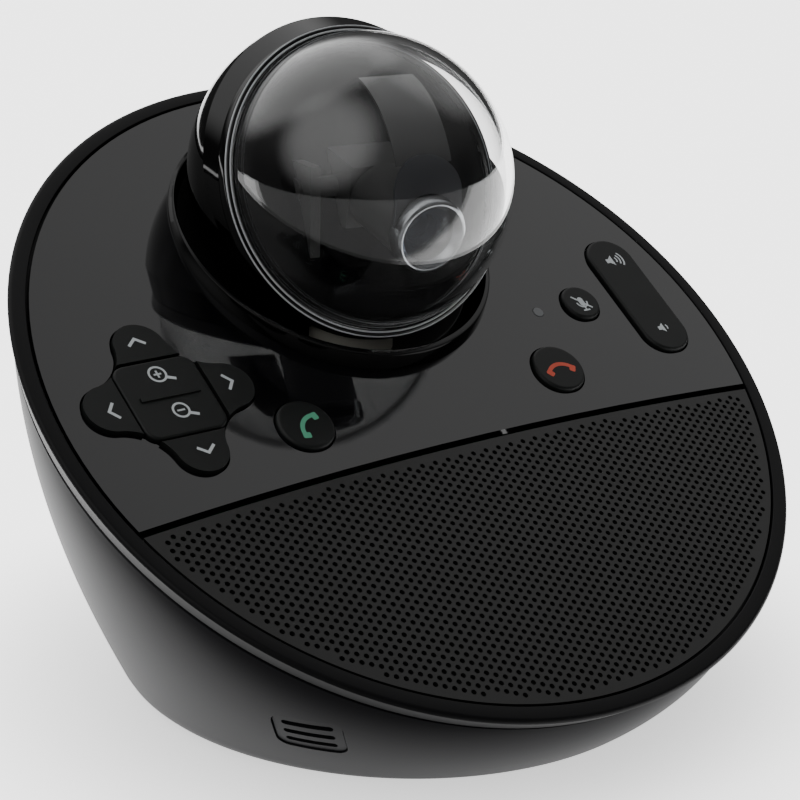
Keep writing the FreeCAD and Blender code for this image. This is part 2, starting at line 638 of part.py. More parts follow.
def shell_parts():
    rise, back = in_dome_frame(SHELL_AT)
    outer = ball(SHELL_R, (0, rise, back))
    shell = outer.cut(ball(SHELL_R - SHELL_T, (0, rise, back))).common(below(SHELL_CUT))
    hole = cylinder(SHAFT_BORE, -60, 0)
    save("ball_shell", on_dome(shell).cut(on_head(hole)))
    start_r = math.sqrt(SHELL_R ** 2 - (SHELL_CUT - back) ** 2)
    skin = circle_loft([(start_r, 0, rise, SHELL_CUT), (RING_R, 0, 0, BAND_TOP)])
    hollow = circle_loft([(start_r - 1.7, 0, rise, SHELL_CUT), (RING_R - 1.5, 0, 0, BAND_TOP)])
    ledge = tube(RING_R - 1.0, 25.2, BAND_TOP - 1.4, BAND_TOP).common(skin)
    save("shell_band", on_dome(skin.cut(hollow).fuse(ledge).removeSplitter()))
    trim = revolved([(28.7, BAND_TOP), (RING_R, BAND_TOP), (RING_R, 1.3), (RING_R - 0.35, 1.9), (28.5, 2.1),
                     (28.0, 2.05), (28.0, 1.7), (28.7, 1.7)])
    save("dome_trim_ring", on_dome(trim))


def dome_parts():
    dome = ball(DOME_R).cut(ball(DOME_R - DOME_T)).common(above(0.6))
    flange = tube(28.6, DOME_R - DOME_T, 0.6, 1.6)
    save("clear_dome", on_dome(dome.fuse(flange.cut(ball(DOME_R - DOME_T))).removeSplitter()))
    save("dome_gasket", on_dome(tube(27.6, 26.4, 0.4, 0.6)))


def slot_cutter():
    """The tall rounded slot, swept about the tilt axis, built with level at zero elevation."""
    steps = 6
    pieces = []
    for index in range(steps + 1):
        elevation = SLOT_LOW + (SLOT_HIGH - SLOT_LOW) * index / steps
        end = Part.makeCylinder(SLOT_HALF, 40, O, Vector(0, -1, 0))
        if 0 < index < steps:
            end = box(-SLOT_HALF, SLOT_HALF, -40, 0, -5.4, 5.4)
        end.rotate(O, X, -elevation)
        pieces.append(end)
    return fused(pieces)


def mask_parts():
    round_part = ball(MASK_R).cut(ball(MASK_R - MASK_T)).common(above(-0.8))
    flange = tube(27.5, MASK_R - MASK_T, -0.8, 0.4).cut(ball(MASK_R - MASK_T))
    mask = on_dome(round_part.fuse(flange).removeSplitter())
    save("inner_mask", mask.cut(on_tilt_axis(slot_cutter())))


def pinion_place():
    turn = math.radians(PINION_DIRECTION)
    return TILT_CENTRES * math.cos(turn), TILT_CENTRES * math.sin(turn)


def yoke_parts():
    y, z = pinion_place()
    arms = []
    for side in (-1, 1):
        x0, x1 = sorted((side * ARM_X0, side * ARM_X1))
        arm = box(x0, x1, -5, 14, -20, 5).cut(box(x0 - 1, x1 + 1, 8, 15, -1, 6))
        arms.append(arm.cut(rod_x(PIN_R + RUNNING, x0 - 1, x1 + 1)))
    base = box(-ARM_X1, ARM_X1, -4, 14, -20, -18)
    bracket = box(7.6, 8.6, y - 4.4, 14, -18.5, z + 4.4).cut(rod_x(1.2, 0, 20, y, z))
    pillar = Part.makeCylinder(7.0, 16, Vector(0, -DOME_AT[1], -35), Z)
    pillar = pillar.common(ball(SHELL_R - SHELL_T, tuple(s - d for s, d in zip(SHELL_AT, DOME_AT))))
    bore = Part.makeCylinder(SHAFT_BORE, 60, Vector(0, -DOME_AT[1], -60), Z)
    save("yoke", on_tilt_axis(fused(arms + [base, bracket, pillar]).cut(bore)))
    motor = rod_x(4.4, -4.0, 7.6, y, z)
    save("tilt_motor", on_tilt_axis(motor))
    pinion = gear(TILT_MODULE, TILT_PINION_TEETH, TILT_GEAR_X0, TILT_GEAR_X1, math.pi / TILT_PINION_TEETH)
    pinion = pinion.fuse(cylinder(0.8, 7.7, TILT_GEAR_X1 + 0.4)).removeSplitter()
    pinion.rotate(O, Z, 180)
    save("tilt_pinion", on_tilt_axis(along_x(pinion, y, z)))


def along_x(shape, y=0.0, z=0.0):
    """Stand a gear built about the z axis on the tilt axis, with its first tooth towards the pinion."""
    turned = shape.copy()
    turned.rotate(O, Z, PINION_DIRECTION)
    matrix = FreeCAD.Matrix(0, 0, 1, 0, 1, 0, 0, y, 0, 1, 0, z, 0, 0, 0, 1)
    turned.Placement = FreeCAD.Placement(matrix).multiply(turned.Placement)
    return turned


def carriage_parts():
    block = box(-6.6, 6.6, -6, 5, -6, 6)
    block = block.fuse(Part.makeCylinder(6.4, 15.0, Vector(0, -6, 0), Vector(0, -1, 0)))
    pins = rod_x(PIN_R, -ARM_X1 - 0.6, ARM_X1 + 0.6)
    bore = Part.makeCylinder(5.0, 30, Vector(0, -5, 0), Vector(0, -1, 0))
    save("lens_carriage", on_carriage(block.fuse(pins).removeSplitter().cut(bore)))
    barrel = Part.makeCylinder(5.0, 16.2, Vector(0, -5, 0), Vector(0, -1, 0))
    barrel_bore = Part.makeCylinder(3.6, 20, Vector(0, -9, 0), Vector(0, -1, 0))
    save("lens_barrel", on_carriage(barrel.cut(barrel_bore)))
    ring_outside = [(5.0, 21.0), (6.9, 21.0), (6.9, 23.6), (6.5, 24.2), (6.1, LENS_FRONT)]
    ring = revolved(ring_outside + [(5.5, 23.7), (5.0, 23.0)])
    ring.rotate(O, X, 90)
    save("lens_ring", on_carriage(ring))
    glass = Part.makeCylinder(4.95, 1.6, Vector(0, -21.3, 0), Vector(0, -1, 0))
    crown = Part.makeCylinder(4.95, 3, Vector(0, -22.9, 0), Vector(0, -1, 0))
    glass = glass.fuse(crown.common(ball(9.0, (0, -15.4, 0))))
    save("front_lens", on_carriage(glass.removeSplitter()))
    save("sensor_board", on_carriage(box(-7, 7, 5.0, 6.2, -5.5, 5.5)))


def curved_strip(r_out, r_in, half, low, high):
    """Part of a tube about the x axis, between two elevations."""
    sheet = rod_x(r_out, -half, half).cut(rod_x(r_in, -half - 1, half + 1))
    rays = [math.radians(low + (high - low) * step / 3) for step in range(4)]
    corners = [O] + [Vector(0, -60 * math.cos(a), 60 * math.sin(a)) for a in rays]
    wedge = Part.Face(Part.makePolygon(corners + corners[:1])).extrude(Vector(60, 0, 0))
    wedge.translate(Vector(-30, 0, 0))
    return sheet.common(wedge)


def arch_and_flex():
    rise = -LENS_ELEVATION
    straight_to = 18.4
    crown = Part.makeCylinder(6.8, 60, O, Vector(0, -1, 0))
    crown.rotate(O, X, -straight_to)
    keep = crown.fuse(curved_strip(30, 10, 6.8, 0, straight_to))
    plate = curved_strip(22.3, 21.7, 6.8, 0, 36).common(keep)
    plate = plate.cut(Part.makeCylinder(7.0, 60, O, Vector(0, -1, 0)))
    save("arch_plate", on_carriage(max(plate.Solids, key=lambda solid: solid.Volume)))
    save("sensor_flex", on_carriage(curved_strip(21.7, 21.4, 5.6, 20 + rise, 72 + rise)))
    present = [index % TILT_TEETH for index in range(-8, 6)]
    sector = gear(TILT_MODULE, TILT_TEETH, TILT_GEAR_X0, TILT_GEAR_X1, 0.0, present)
    sector = sector.common(fused([cylinder(5, 0, 20), sector_wedge()])).cut(cylinder(PIN_R, 0, 20))
    save("tilt_gear", on_tilt_axis(along_x(sector)))


def sector_wedge():
    points = [O] + [Vector(30 * math.cos(math.radians(a)), 30 * math.sin(math.radians(a)), 0)
                    for a in (-95, -60, -20, 20, 62)] + [O]
    return Part.Face(Part.makePolygon(points)).extrude(Vector(0, 0, 20))


for build in (lower_housing, mic_vents, bottom_parts, bezel, panel_parts, speaker, keys, key_board_parts,
              boards_and_ports, neck_parts, pan_drive, shell_parts, dome_parts, mask_parts, yoke_parts,
              carriage_parts, arch_and_flex):
    build()
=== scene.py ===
"""Looks for a desktop conference camera: a pan and tilt camera ball in a sloping speakerphone base.

Sizes are in millimetres and become metres through the MM constant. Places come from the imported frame.
"""
import json
import logging
import math
from dataclasses import dataclass
from enum import Enum
from typing import Iterable, Optional

import bmesh
import bpy
from mathutils import Matrix, Vector
from mathutils.bvhtree import BVHTree
from mathutils.geometry import delaunay_2d_cdt


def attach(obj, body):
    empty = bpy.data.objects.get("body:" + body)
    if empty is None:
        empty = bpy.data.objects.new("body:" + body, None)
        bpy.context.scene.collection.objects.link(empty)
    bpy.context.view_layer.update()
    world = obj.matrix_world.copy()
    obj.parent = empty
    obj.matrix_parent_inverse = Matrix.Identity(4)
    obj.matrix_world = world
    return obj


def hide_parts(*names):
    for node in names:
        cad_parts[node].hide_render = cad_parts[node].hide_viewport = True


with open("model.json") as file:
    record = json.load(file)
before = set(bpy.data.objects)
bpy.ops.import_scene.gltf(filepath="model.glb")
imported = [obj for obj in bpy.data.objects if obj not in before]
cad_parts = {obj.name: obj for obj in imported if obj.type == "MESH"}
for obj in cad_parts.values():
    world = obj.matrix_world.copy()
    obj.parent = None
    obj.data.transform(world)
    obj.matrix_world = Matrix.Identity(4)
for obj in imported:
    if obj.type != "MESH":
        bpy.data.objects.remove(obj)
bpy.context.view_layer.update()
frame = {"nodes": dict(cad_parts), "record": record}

LOG = logging.getLogger("conference_camera")
MM = 0.001
Point2 = tuple[float, float]
Ring = list[Vector]


# ---------------------------------------------------------------- colour and nodes

def linear(code: str, alpha: float = 1.0) -> tuple[float, float, float, float]:
    """Turn an sRGB hex colour into linear RGBA.

    Args:
        code: six hex digits, with or without a leading #.
        alpha: the fourth value.

    Returns:
        Linear red, green, blue and alpha.
    """
    digits = code.lstrip("#")
    channels = [int(digits[i:i + 2], 16) / 255 for i in (0, 2, 4)]
    red, green, blue = [c / 12.92 if c <= 0.04045 else ((c + 0.055) / 1.055) ** 2.4 for c in channels]
    return red, green, blue, alpha


def add_node(tree: bpy.types.NodeTree, kind: str, settings: Optional[dict] = None,
             links: Optional[dict] = None) -> bpy.types.Node:
    """Add a shader node with its settings and incoming links.

    Args:
        tree: the node tree.
        kind: the node's type name.
        settings: input names or attribute names with their values.
        links: input names with the output sockets that feed them.

    Returns:
        The new node.
    """
    node = tree.nodes.new(kind)
    for key, value in (settings or {}).items():
        if isinstance(key, str) and hasattr(node, key):
            setattr(node, key, value)
        else:
            node.inputs[key].default_value = value
    for key, socket in (links or {}).items():
        tree.links.new(socket, node.inputs[key])
    return node


# ---------------------------------------------------------------- finishes

@dataclass(frozen=True)
class Finish:
    """A surface finish: two close colours, a roughness that wanders, and a fine grain.

    The grain_mm and cloud_mm fields are the real spacing of the grain and of the slow colour change.
    """

    name: str = "plain_moulding"
    colour: str = "#202224"
    shade: str = "#1a1c1e"
    roughness: float = 0.45
    swing: float = 0.06
    grain_mm: float = 0.4
    relief_mm: float = 0.01
    cloud_mm: float = 18.0
    metallic: float = 0.0
    ior: float = 1.5

    def material(self) -> bpy.types.Material:
        """Build the material once and hand it out again after that.

        Returns:
            The Blender material of this finish.
        """
        known = bpy.data.materials.get(self.name)
        if known:
            return known
        made = bpy.data.materials.new(self.name)
        made.use_nodes = True
        tree = made.node_tree
        tree.nodes.clear()
        shader = add_node(tree, "ShaderNodeBsdfPrincipled", {"Metallic": self.metallic, "IOR": self.ior})
        add_node(tree, "ShaderNodeOutputMaterial", {}, {"Surface": shader.outputs["BSDF"]})
        self.pattern(tree, shader)
        self.extras(shader)
        return made

    def pattern(self, tree: bpy.types.NodeTree, shader: bpy.types.Node) -> None:
        """Feed colour, roughness and relief into the shader.

        Args:
            tree: the material's node tree.
            shader: the principled shader.
        """
        where = add_node(tree, "ShaderNodeTexCoord").outputs["Object"]
        cloud = add_node(tree, "ShaderNodeTexNoise", {"Scale": 1 / (self.cloud_mm * MM), "Detail": 3.0},
                         {"Vector": where})
        grain = add_node(tree, "ShaderNodeTexNoise", {"Scale": 1 / (self.grain_mm * MM), "Detail": 2.0},
                         {"Vector": where})
        self.feed(shader, cloud.outputs["Fac"], grain.outputs["Fac"])

    def feed(self, shader: bpy.types.Node, tone: bpy.types.NodeSocket, height: bpy.types.NodeSocket) -> None:
        """Spread the two colours and the roughness over one pattern, and the relief over another.

        Args:
            shader: the principled shader.
            tone: the pattern of colour and roughness.
            height: the pattern of the relief.
        """
        tree = shader.id_data
        tint = add_node(tree, "ShaderNodeMix", {
            "data_type": "RGBA", 6: linear(self.colour), 7: linear(self.shade)}, {0: tone})
        tree.links.new(tint.outputs[2], shader.inputs["Base Color"])
        gloss = add_node(tree, "ShaderNodeMapRange", {
            "To Min": max(0.0, self.roughness - self.swing), "To Max": self.roughness + self.swing},
            {"Value": tone})
        tree.links.new(gloss.outputs["Result"], shader.inputs["Roughness"])
        relief = add_node(tree, "ShaderNodeBump", {"Distance": self.relief_mm * MM}, {"Height": height})
        tree.links.new(relief.outputs["Normal"], shader.inputs["Normal"])

    def extras(self, shader: bpy.types.Node) -> None:
        """Set what a subclass adds to the shader's own sockets."""


@dataclass(frozen=True)
class ClearMoulding(Finish):
    """A see-through moulding or a lens element."""

    transmission: float = 1.0

    def extras(self, shader: bpy.types.Node) -> None:
        """Let light through the shader."""
        shader.inputs["Transmission Weight"].default_value = self.transmission


@dataclass(frozen=True)
class TurnedMetal(Finish):
    """Bare or plated metal with fine lathe lines."""

    metallic: float = 1.0
    swing: float = 0.05
    relief_mm: float = 0.002
    stretch: float = 12.0

    def pattern(self, tree: bpy.types.NodeTree, shader: bpy.types.Node) -> None:
        """Feed drawn-out machining lines into the shader.

        Args:
            tree: the material's node tree.
            shader: the principled shader.
        """
        where = add_node(tree, "ShaderNodeTexCoord").outputs["Object"]
        drawn = add_node(tree, "ShaderNodeMapping", {"Scale": (1.0, 1.0, self.stretch)}, {"Vector": where})
        lines = add_node(tree, "ShaderNodeTexNoise", {"Scale": 1 / (self.grain_mm * MM), "Detail": 3.0},
                         {"Vector": drawn.outputs["Vector"]})
        self.feed(shader, lines.outputs["Fac"], lines.outputs["Fac"])


@dataclass(frozen=True)
class LitAcrylic(Finish):
    """White acrylic of a light table, lit from below, with a pale unlit part in front that is painted a grey
    shade.

    The lamps start between lamps_from and full_from metres along the away direction. Near the part the glow
    drops to the shadow_glow_share, a painted contact shadow, which rises back to 1 between shaded_r and
    shadow_fade_r metres from the middle.
    """

    glow: float = 2.7
    # Grey painted as shade on the front part, where the floor does not glow.
    unlit: str = "#c4c4c4"
    away: tuple[float, float, float] = (0.62, 0.78, 0.0)
    lamps_from: float = -0.085
    full_from: float = -0.06
    shaded_r: float = 0.05
    shadow_fade_r: float = 0.105
    shadow_glow_share: float = 0.4

    def extras(self, shader: bpy.types.Node) -> None:
        """Make the surface give out light behind the front edge.

        Args:
            shader: the principled shader.
        """
        tree = shader.id_data
        where = add_node(tree, "ShaderNodeTexCoord").outputs["Object"]
        along = add_node(tree, "ShaderNodeVectorMath", {"operation": "DOT_PRODUCT", 1: self.away}, {0: where})
        lit = add_node(tree, "ShaderNodeMapRange", {
            "interpolation_type": "SMOOTHSTEP", "From Min": self.lamps_from, "From Max": self.full_from,
            "To Max": self.glow}, {"Value": along.outputs["Value"]})
        reach = add_node(tree, "ShaderNodeVectorMath", {"operation": "LENGTH"}, {0: where})
        # Painted contact shadow: the glow is dimmed towards the part's middle.
        painted_contact_shadow = add_node(tree, "ShaderNodeMapRange", {
            "interpolation_type": "SMOOTHSTEP", "From Min": self.shaded_r, "From Max": self.shadow_fade_r,
            "To Min": self.shadow_glow_share}, {"Value": reach.outputs["Value"]})
        glow = add_node(tree, "ShaderNodeMath", {"operation": "MULTIPLY"},
                        {0: lit.outputs["Result"], 1: painted_contact_shadow.outputs["Result"]})
        shader.inputs["Emission Color"].default_value = linear("#ffffff")
        tree.links.new(glow.outputs["Value"], shader.inputs["Emission Strength"])
        # Painted shade: the base colour runs from the white acrylic to grey where the floor does not glow.
        share = add_node(tree, "ShaderNodeMapRange", {"From Min": 0.0, "From Max": self.glow},
                         {"Value": lit.outputs["Result"]})
        painted_front_shade = add_node(tree, "ShaderNodeMix", {"data_type": "RGBA", 6: linear(self.unlit)},
                          {0: share.outputs["Result"], 7: shader.inputs["Base Color"].links[0].from_socket})
        tree.links.new(painted_front_shade.outputs[2], shader.inputs["Base Color"])


@dataclass(frozen=True)
class SolderMask(Finish):
    """Green lacquer over copper tracks, with a slight step at each track."""

    copper: str = "#1d5a3a"
    track_mm: float = 1.6
    step_mm: float = 0.03
    gap_from: float = 0.32
    gap_to: float = 0.36

    def pattern(self, tree: bpy.types.NodeTree, shader: bpy.types.Node) -> None:
        """Feed a track pattern into the shader.

        Args:
            tree: the material's node tree.
            shader: the principled shader.
        """
        where = add_node(tree, "ShaderNodeTexCoord").outputs["Object"]
        cells = add_node(tree, "ShaderNodeTexVoronoi", {
            "feature": "F1", "distance": "CHEBYCHEV", "Scale": 1 / (self.track_mm * MM)}, {"Vector": where})
        step = add_node(tree, "ShaderNodeMapRange", {"From Min": self.gap_from, "From Max": self.gap_to},
                        {"Value": cells.outputs["Distance"]})
        tint = add_node(tree, "ShaderNodeMix", {"data_type": "RGBA", 6: linear(self.copper),
                                                7: linear(self.colour)}, {0: step.outputs["Result"]})
        tree.links.new(tint.outputs[2], shader.inputs["Base Color"])
        relief = add_node(tree, "ShaderNodeBump", {"Distance": self.step_mm * MM},
                          {"Height": step.outputs["Result"]})
        tree.links.new(relief.outputs["Normal"], shader.inputs["Normal"])
        shader.inputs["Roughness"].default_value = self.roughness


# Spark-eroded ABS of the bowl: charcoal, satin, with a sandy grain that spreads highlights wide.
SATIN_ABS = Finish("satin_abs", "#131315", "#111113", 0.42, 0.02, 0.30, 0.006, 60.0, ior=1.2)
# Finer and darker ABS of the bezel: nearly matt, so that it frames the glossy panel.
MATT_ABS = Finish("matt_abs", "#0c0c0d", "#0a0a0b", 0.42, 0.03, 0.25, 0.005, 25.0, ior=1.2)
# Polished ABS of the key panel: a black mirror with faint haze from wiping.
POLISHED_ABS = Finish("polished_abs", "#060607", "#08080a", 0.04, 0.02, 1.2, 0.0003, 30.0)
# The same black on the ball and collar, moulded round, with a slight orange peel.
BALL_ABS = Finish("ball_abs", "#030303", "#050505", 0.06, 0.02, 2.5, 0.0006, 14.0, ior=1.32)
# The mask behind the dome: polished black that mirrors the room softly.
MASK_ABS = Finish("mask_abs", "#040405", "#060607", 0.14, 0.02, 1.5, 0.0006, 10.0, ior=1.4)
# Silicone of the keys: nearly black, with a faint green cast and broad, dull highlights.
KEY_SILICONE = Finish("key_silicone", "#0b0d0c", "#0e100f", 0.50, 0.04, 0.22, 0.004, 7.0, ior=1.3)
# Powder coat on the punched sheet: near-black with tiny bumps.
POWDER_COAT = Finish("powder_coat", "#111111", "#151514", 0.42, 0.05, 0.18, 0.006, 9.0, ior=1.38)
# Matt black engineering plastic inside: swallows light.
INNER_BLACK = Finish("inner_black", "#0b0b0c", "#101011", 0.6, 0.05, 0.35, 0.01, 8.0)
# Acoustic cloth and pressed pulp behind the holes: fibrous black.
SPEAKER_PULP = Finish("speaker_pulp", "#101010", "#1a1919", 0.85, 0.05, 0.15, 0.05, 4.0)
# Foot and surround rubber: dull black.
NITRILE = Finish("nitrile_rubber", "#0e0e0e", "#161616", 0.75, 0.06, 0.4, 0.02, 6.0)
# Acetal of the gears and the pan shaft: waxy white.
ACETAL = Finish("acetal", "#d9d6cb", "#cfccc0", 0.35, 0.05, 0.8, 0.003, 12.0)
# Polyimide flex and its black cover film.
FLEX_FILM = Finish("flex_film", "#1c1c1e", "#242427", 0.35, 0.06, 0.5, 0.004, 5.0)
# The arched plate over the lens: dark grey satin moulding.
ARCH_ABS = Finish("arch_abs", "#2f3034", "#36373b", 0.35, 0.04, 0.4, 0.004, 8.0)
# Screen-printed inks on the keys.
GREY_INK = Finish("grey_ink", "#b9bec0", "#aeb3b5", 0.6, 0.05, 0.2, 0.004, 3.0)
GREEN_INK = Finish("green_ink", "#4f9c7c", "#478f70", 0.6, 0.05, 0.2, 0.004, 3.0)
RED_INK = Finish("red_ink", "#c4482f", "#b84029", 0.6, 0.05, 0.2, 0.004, 3.0)
# Frosted light pipe of the status light, unlit.
FROSTED = Finish("frosted_acrylic", "#4a4c4e", "#55585a", 0.3, 0.04, 0.3, 0.004, 2.0)
# Optically clear polycarbonate of the dome.
CLEAR_DOME = ClearMoulding("clear_polycarbonate", "#ffffff", "#fdfefe", 0.0, 0.0, 6.0, 0.0, 30.0, ior=1.45)
# Coated glass of the lens elements: blue-grey, with little glare.
LENS_GLASS = ClearMoulding("coated_glass", "#7f8796", "#868ea0", 0.0, 0.0, 6.0, 0.0, 20.0, ior=1.22)
# Bright satin plating of the lens ring.
SATIN_CHROME = TurnedMetal("satin_chrome", "#9a9c9e", "#808285", 0.24, grain_mm=0.5)
# Pale paint on the beads at the dome's foot: painted highlight, seen as thin pale lines where the flange's
# edges catch the light.
PAINTED_HIGHLIGHT = Finish("painted_highlight_edge", "#a9abad", "#9a9c9f", 0.3, 0.04, 0.5, 0.003, 6.0)
# Zinc-plated steel of motors, screws and sockets.
ZINC_STEEL = TurnedMetal("zinc_steel", "#9fa2a5", "#86898c", 0.32, grain_mm=0.6)
# Sintered bronze and brass of bush and pinions.
BRASS = TurnedMetal("turned_brass", "#c9a25a", "#a98443", 0.28, grain_mm=0.5)
# Green solder mask of the boards: satin lacquer that shows the tracks under it.
BOARD = SolderMask("solder_mask", "#0f3a26", roughness=0.35)
# Light table that stands as the floor: white and lit from below, so that no hard shadow forms. Its glow is
# dimmed round the part as a painted contact shadow, and its unlit front is painted a grey shade.
STUDIO_WHITE = LitAcrylic("studio_white", "#f4f4f4", "#f0f0f0", 0.6, 0.05, 3.0, 0.01, 300.0, ior=1.2)

NODE_FINISHES: dict[Finish, tuple[str, ...]] = {
    SATIN_ABS: ("lower_housing", "bottom_plate", "mic_vent_left", "mic_vent_right"),
    MATT_ABS: ("bezel_ring",),
    POLISHED_ABS: ("control_panel",),
    BALL_ABS: ("head_collar", "ball_shell", "shell_band", "dome_trim_ring"),
    MASK_ABS: ("inner_mask",),
    KEY_SILICONE: ("key_mat", "answer_key", "hangup_key", "mute_key", "volume_rocker", "zoom_rocker",
                   "pan_left_key", "pan_right_key", "tilt_up_key", "tilt_down_key"),
    INNER_BLACK: ("port_panel", "power_socket", "audio_jack", "neck_cup", "lens_carriage", "lens_barrel",
                  "yoke", "speaker_basket", "speaker_magnet", "motor_bracket"),
    SPEAKER_PULP: ("speaker_baffle", "speaker_cone"),
    NITRILE: ("rubber_foot", "speaker_surround", "dome_gasket"),
    ACETAL: ("pan_gear", "pan_shaft", "tilt_gear"),
    FLEX_FILM: ("sensor_flex",),
    ARCH_ABS: ("arch_plate",),
    FROSTED: ("status_light",),
    SATIN_CHROME: ("lens_ring",),
    CLEAR_DOME: ("clear_dome",),
    LENS_GLASS: ("front_lens",),
    ZINC_STEEL: ("ballast_plate", "housing_screws", "dome_switches", "usb_socket", "mic_capsules",
                 "pan_motor", "tilt_motor"),
    BRASS: ("pan_bush", "pan_pinion", "tilt_pinion"),
    BOARD: ("key_board", "main_board", "sensor_board"),
}


# ---------------------------------------------------------------- places

def joint(name: str) -> dict:
    """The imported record's joint of that name."""
    return next(j for j in frame["record"]["behaviour"]["joints"] if j["name"] == name)


def axes_matrix(origin: Vector, x: Vector, y: Vector, z: Vector) -> Matrix:
    """A matrix that carries local metres to the row frame, from its axes and origin."""
    turn = Matrix((x, y, z)).transposed().to_4x4()
    return Matrix.Translation(origin) @ turn


class Frames:
    """The local frames of the object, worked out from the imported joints."""

    # Where the volume rocker's hinge lies in the panel frame.
    ROCKER = Vector((60.1, 6.1, -0.6))
    DOME_ELEVATION = math.radians(22.0)

    def __init__(self) -> None:
        """Work out every frame."""
        normal = -Vector(joint("answer_press")["axis"]).normalized()
        side = Vector((1, 0, 0))
        slope = normal.cross(side)
        rocker = Vector(joint("volume_rock")["pos_m"])
        offset = (side * self.ROCKER.x + slope * self.ROCKER.y + normal * self.ROCKER.z) * MM
        self.panel = axes_matrix(rocker - offset, side, slope, normal)
        tilt = joint("tilt")
        across = -Vector(tilt["axis"]).normalized()
        ahead = Vector((0, 0, 1)).cross(across) * -1
        rise = math.sin(self.DOME_ELEVATION)
        level = math.cos(self.DOME_ELEVATION)
        outward = ahead * level + Vector((0, 0, rise))
        self.dome = axes_matrix(Vector(tilt["pos_m"]), across, outward.cross(across), outward)
        self.tilt = axes_matrix(Vector(tilt["pos_m"]), across, ahead * -1, Vector((0, 0, 1)))


# ---------------------------------------------------------------- mesh making

class Corner(Enum):
    """How a mesh's edges are shaded."""

    SOFT = 60.0
    CRISP = 30.0


def piece(name: str, verts: Iterable[Vector], faces: Iterable[tuple[int, ...]], place: Matrix,
          finish: Finish, body: str, corner: Corner = Corner.SOFT) -> bpy.types.Object:
    """Make an object from millimetre points in a local frame and let it ride on a body.

    Args:
        name: the piece's name.
        verts: points in millimetres.
        faces: vertex numbers of each face.
        place: the local frame.
        finish: the surface finish.
        body: the body that it rides on.
        corner: the sharpest angle that stays smooth.

    Returns:
        The new object.
    """
    mesh = bpy.data.meshes.new(name)
    mesh.from_pydata([place @ (Vector(v) * MM) for v in verts], [], [tuple(f) for f in faces])
    tidy = bmesh.new()
    tidy.from_mesh(mesh)
    bmesh.ops.remove_doubles(tidy, verts=tidy.verts, dist=1e-7)
    bmesh.ops.recalc_face_normals(tidy, faces=tidy.faces)
    tidy.to_mesh(mesh)
    tidy.free()
    mesh.shade_smooth()
    mesh.set_sharp_from_angle(angle=math.radians(corner.value))
    made = bpy.data.objects.new(name, mesh)
    bpy.context.scene.collection.objects.link(made)
    made.data.materials.append(finish.material())
    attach(made, body)
    LOG.info("%s: %d faces", name, len(mesh.polygons))
    return made


def stack(rings: list[Ring], close_first: bool = True, close_last: bool = True,
          loop: bool = False) -> tuple[list[Vector], list[tuple[int, ...]]]:
    """Skin a list of equal-length rings.

    Args:
        rings: the rings, each a closed run of points.
        close_first: whether the first ring gets a cap.
        close_last: whether the last ring gets a cap.
        loop: whether the last ring joins the first.

    Returns:
        The points and faces.
    """
    count = len(rings[0])
    verts = [p for ring in rings for p in ring]
    faces: list[tuple[int, ...]] = []
    for k in range(len(rings) if loop else len(rings) - 1):
        low, high = k * count, (k + 1) % len(rings) * count
        for i in range(count):
            j = (i + 1) % count
            faces.append((low + i, low + j, high + j, high + i))
    if close_first and not loop:
        faces.append(tuple(reversed(range(count))))
    if close_last and not loop:
        faces.append(tuple(range((len(rings) - 1) * count, len(rings) * count)))
    return verts, faces


def circle(radius: float, height: float, count: int = 96, at: Point2 = (0.0, 0.0)) -> Ring:
    """A ring of points round the local z axis."""
    step = 2 * math.pi / count
    return [Vector((at[0] + radius * math.cos(i * step), at[1] + radius * math.sin(i * step), height))
            for i in range(count)]


def lathe(profile: list[Point2], count: int = 128) -> tuple[list[Vector], list[tuple[int, ...]]]:
    """Turn a closed profile of (radius, height) points about the local z axis."""
    return stack([circle(r, h, count) for r, h in profile], loop=True)


def arc(centre: Point2, radius: float, start: float, end: float, steps: int) -> list[Point2]:
    """Points along an arc, angles in degrees, both ends included."""
    turns = [math.radians(start + (end - start) * i / steps) for i in range(steps + 1)]
    return [(centre[0] + radius * math.cos(a), centre[1] + radius * math.sin(a)) for a in turns]


# ---------------------------------------------------------------- base

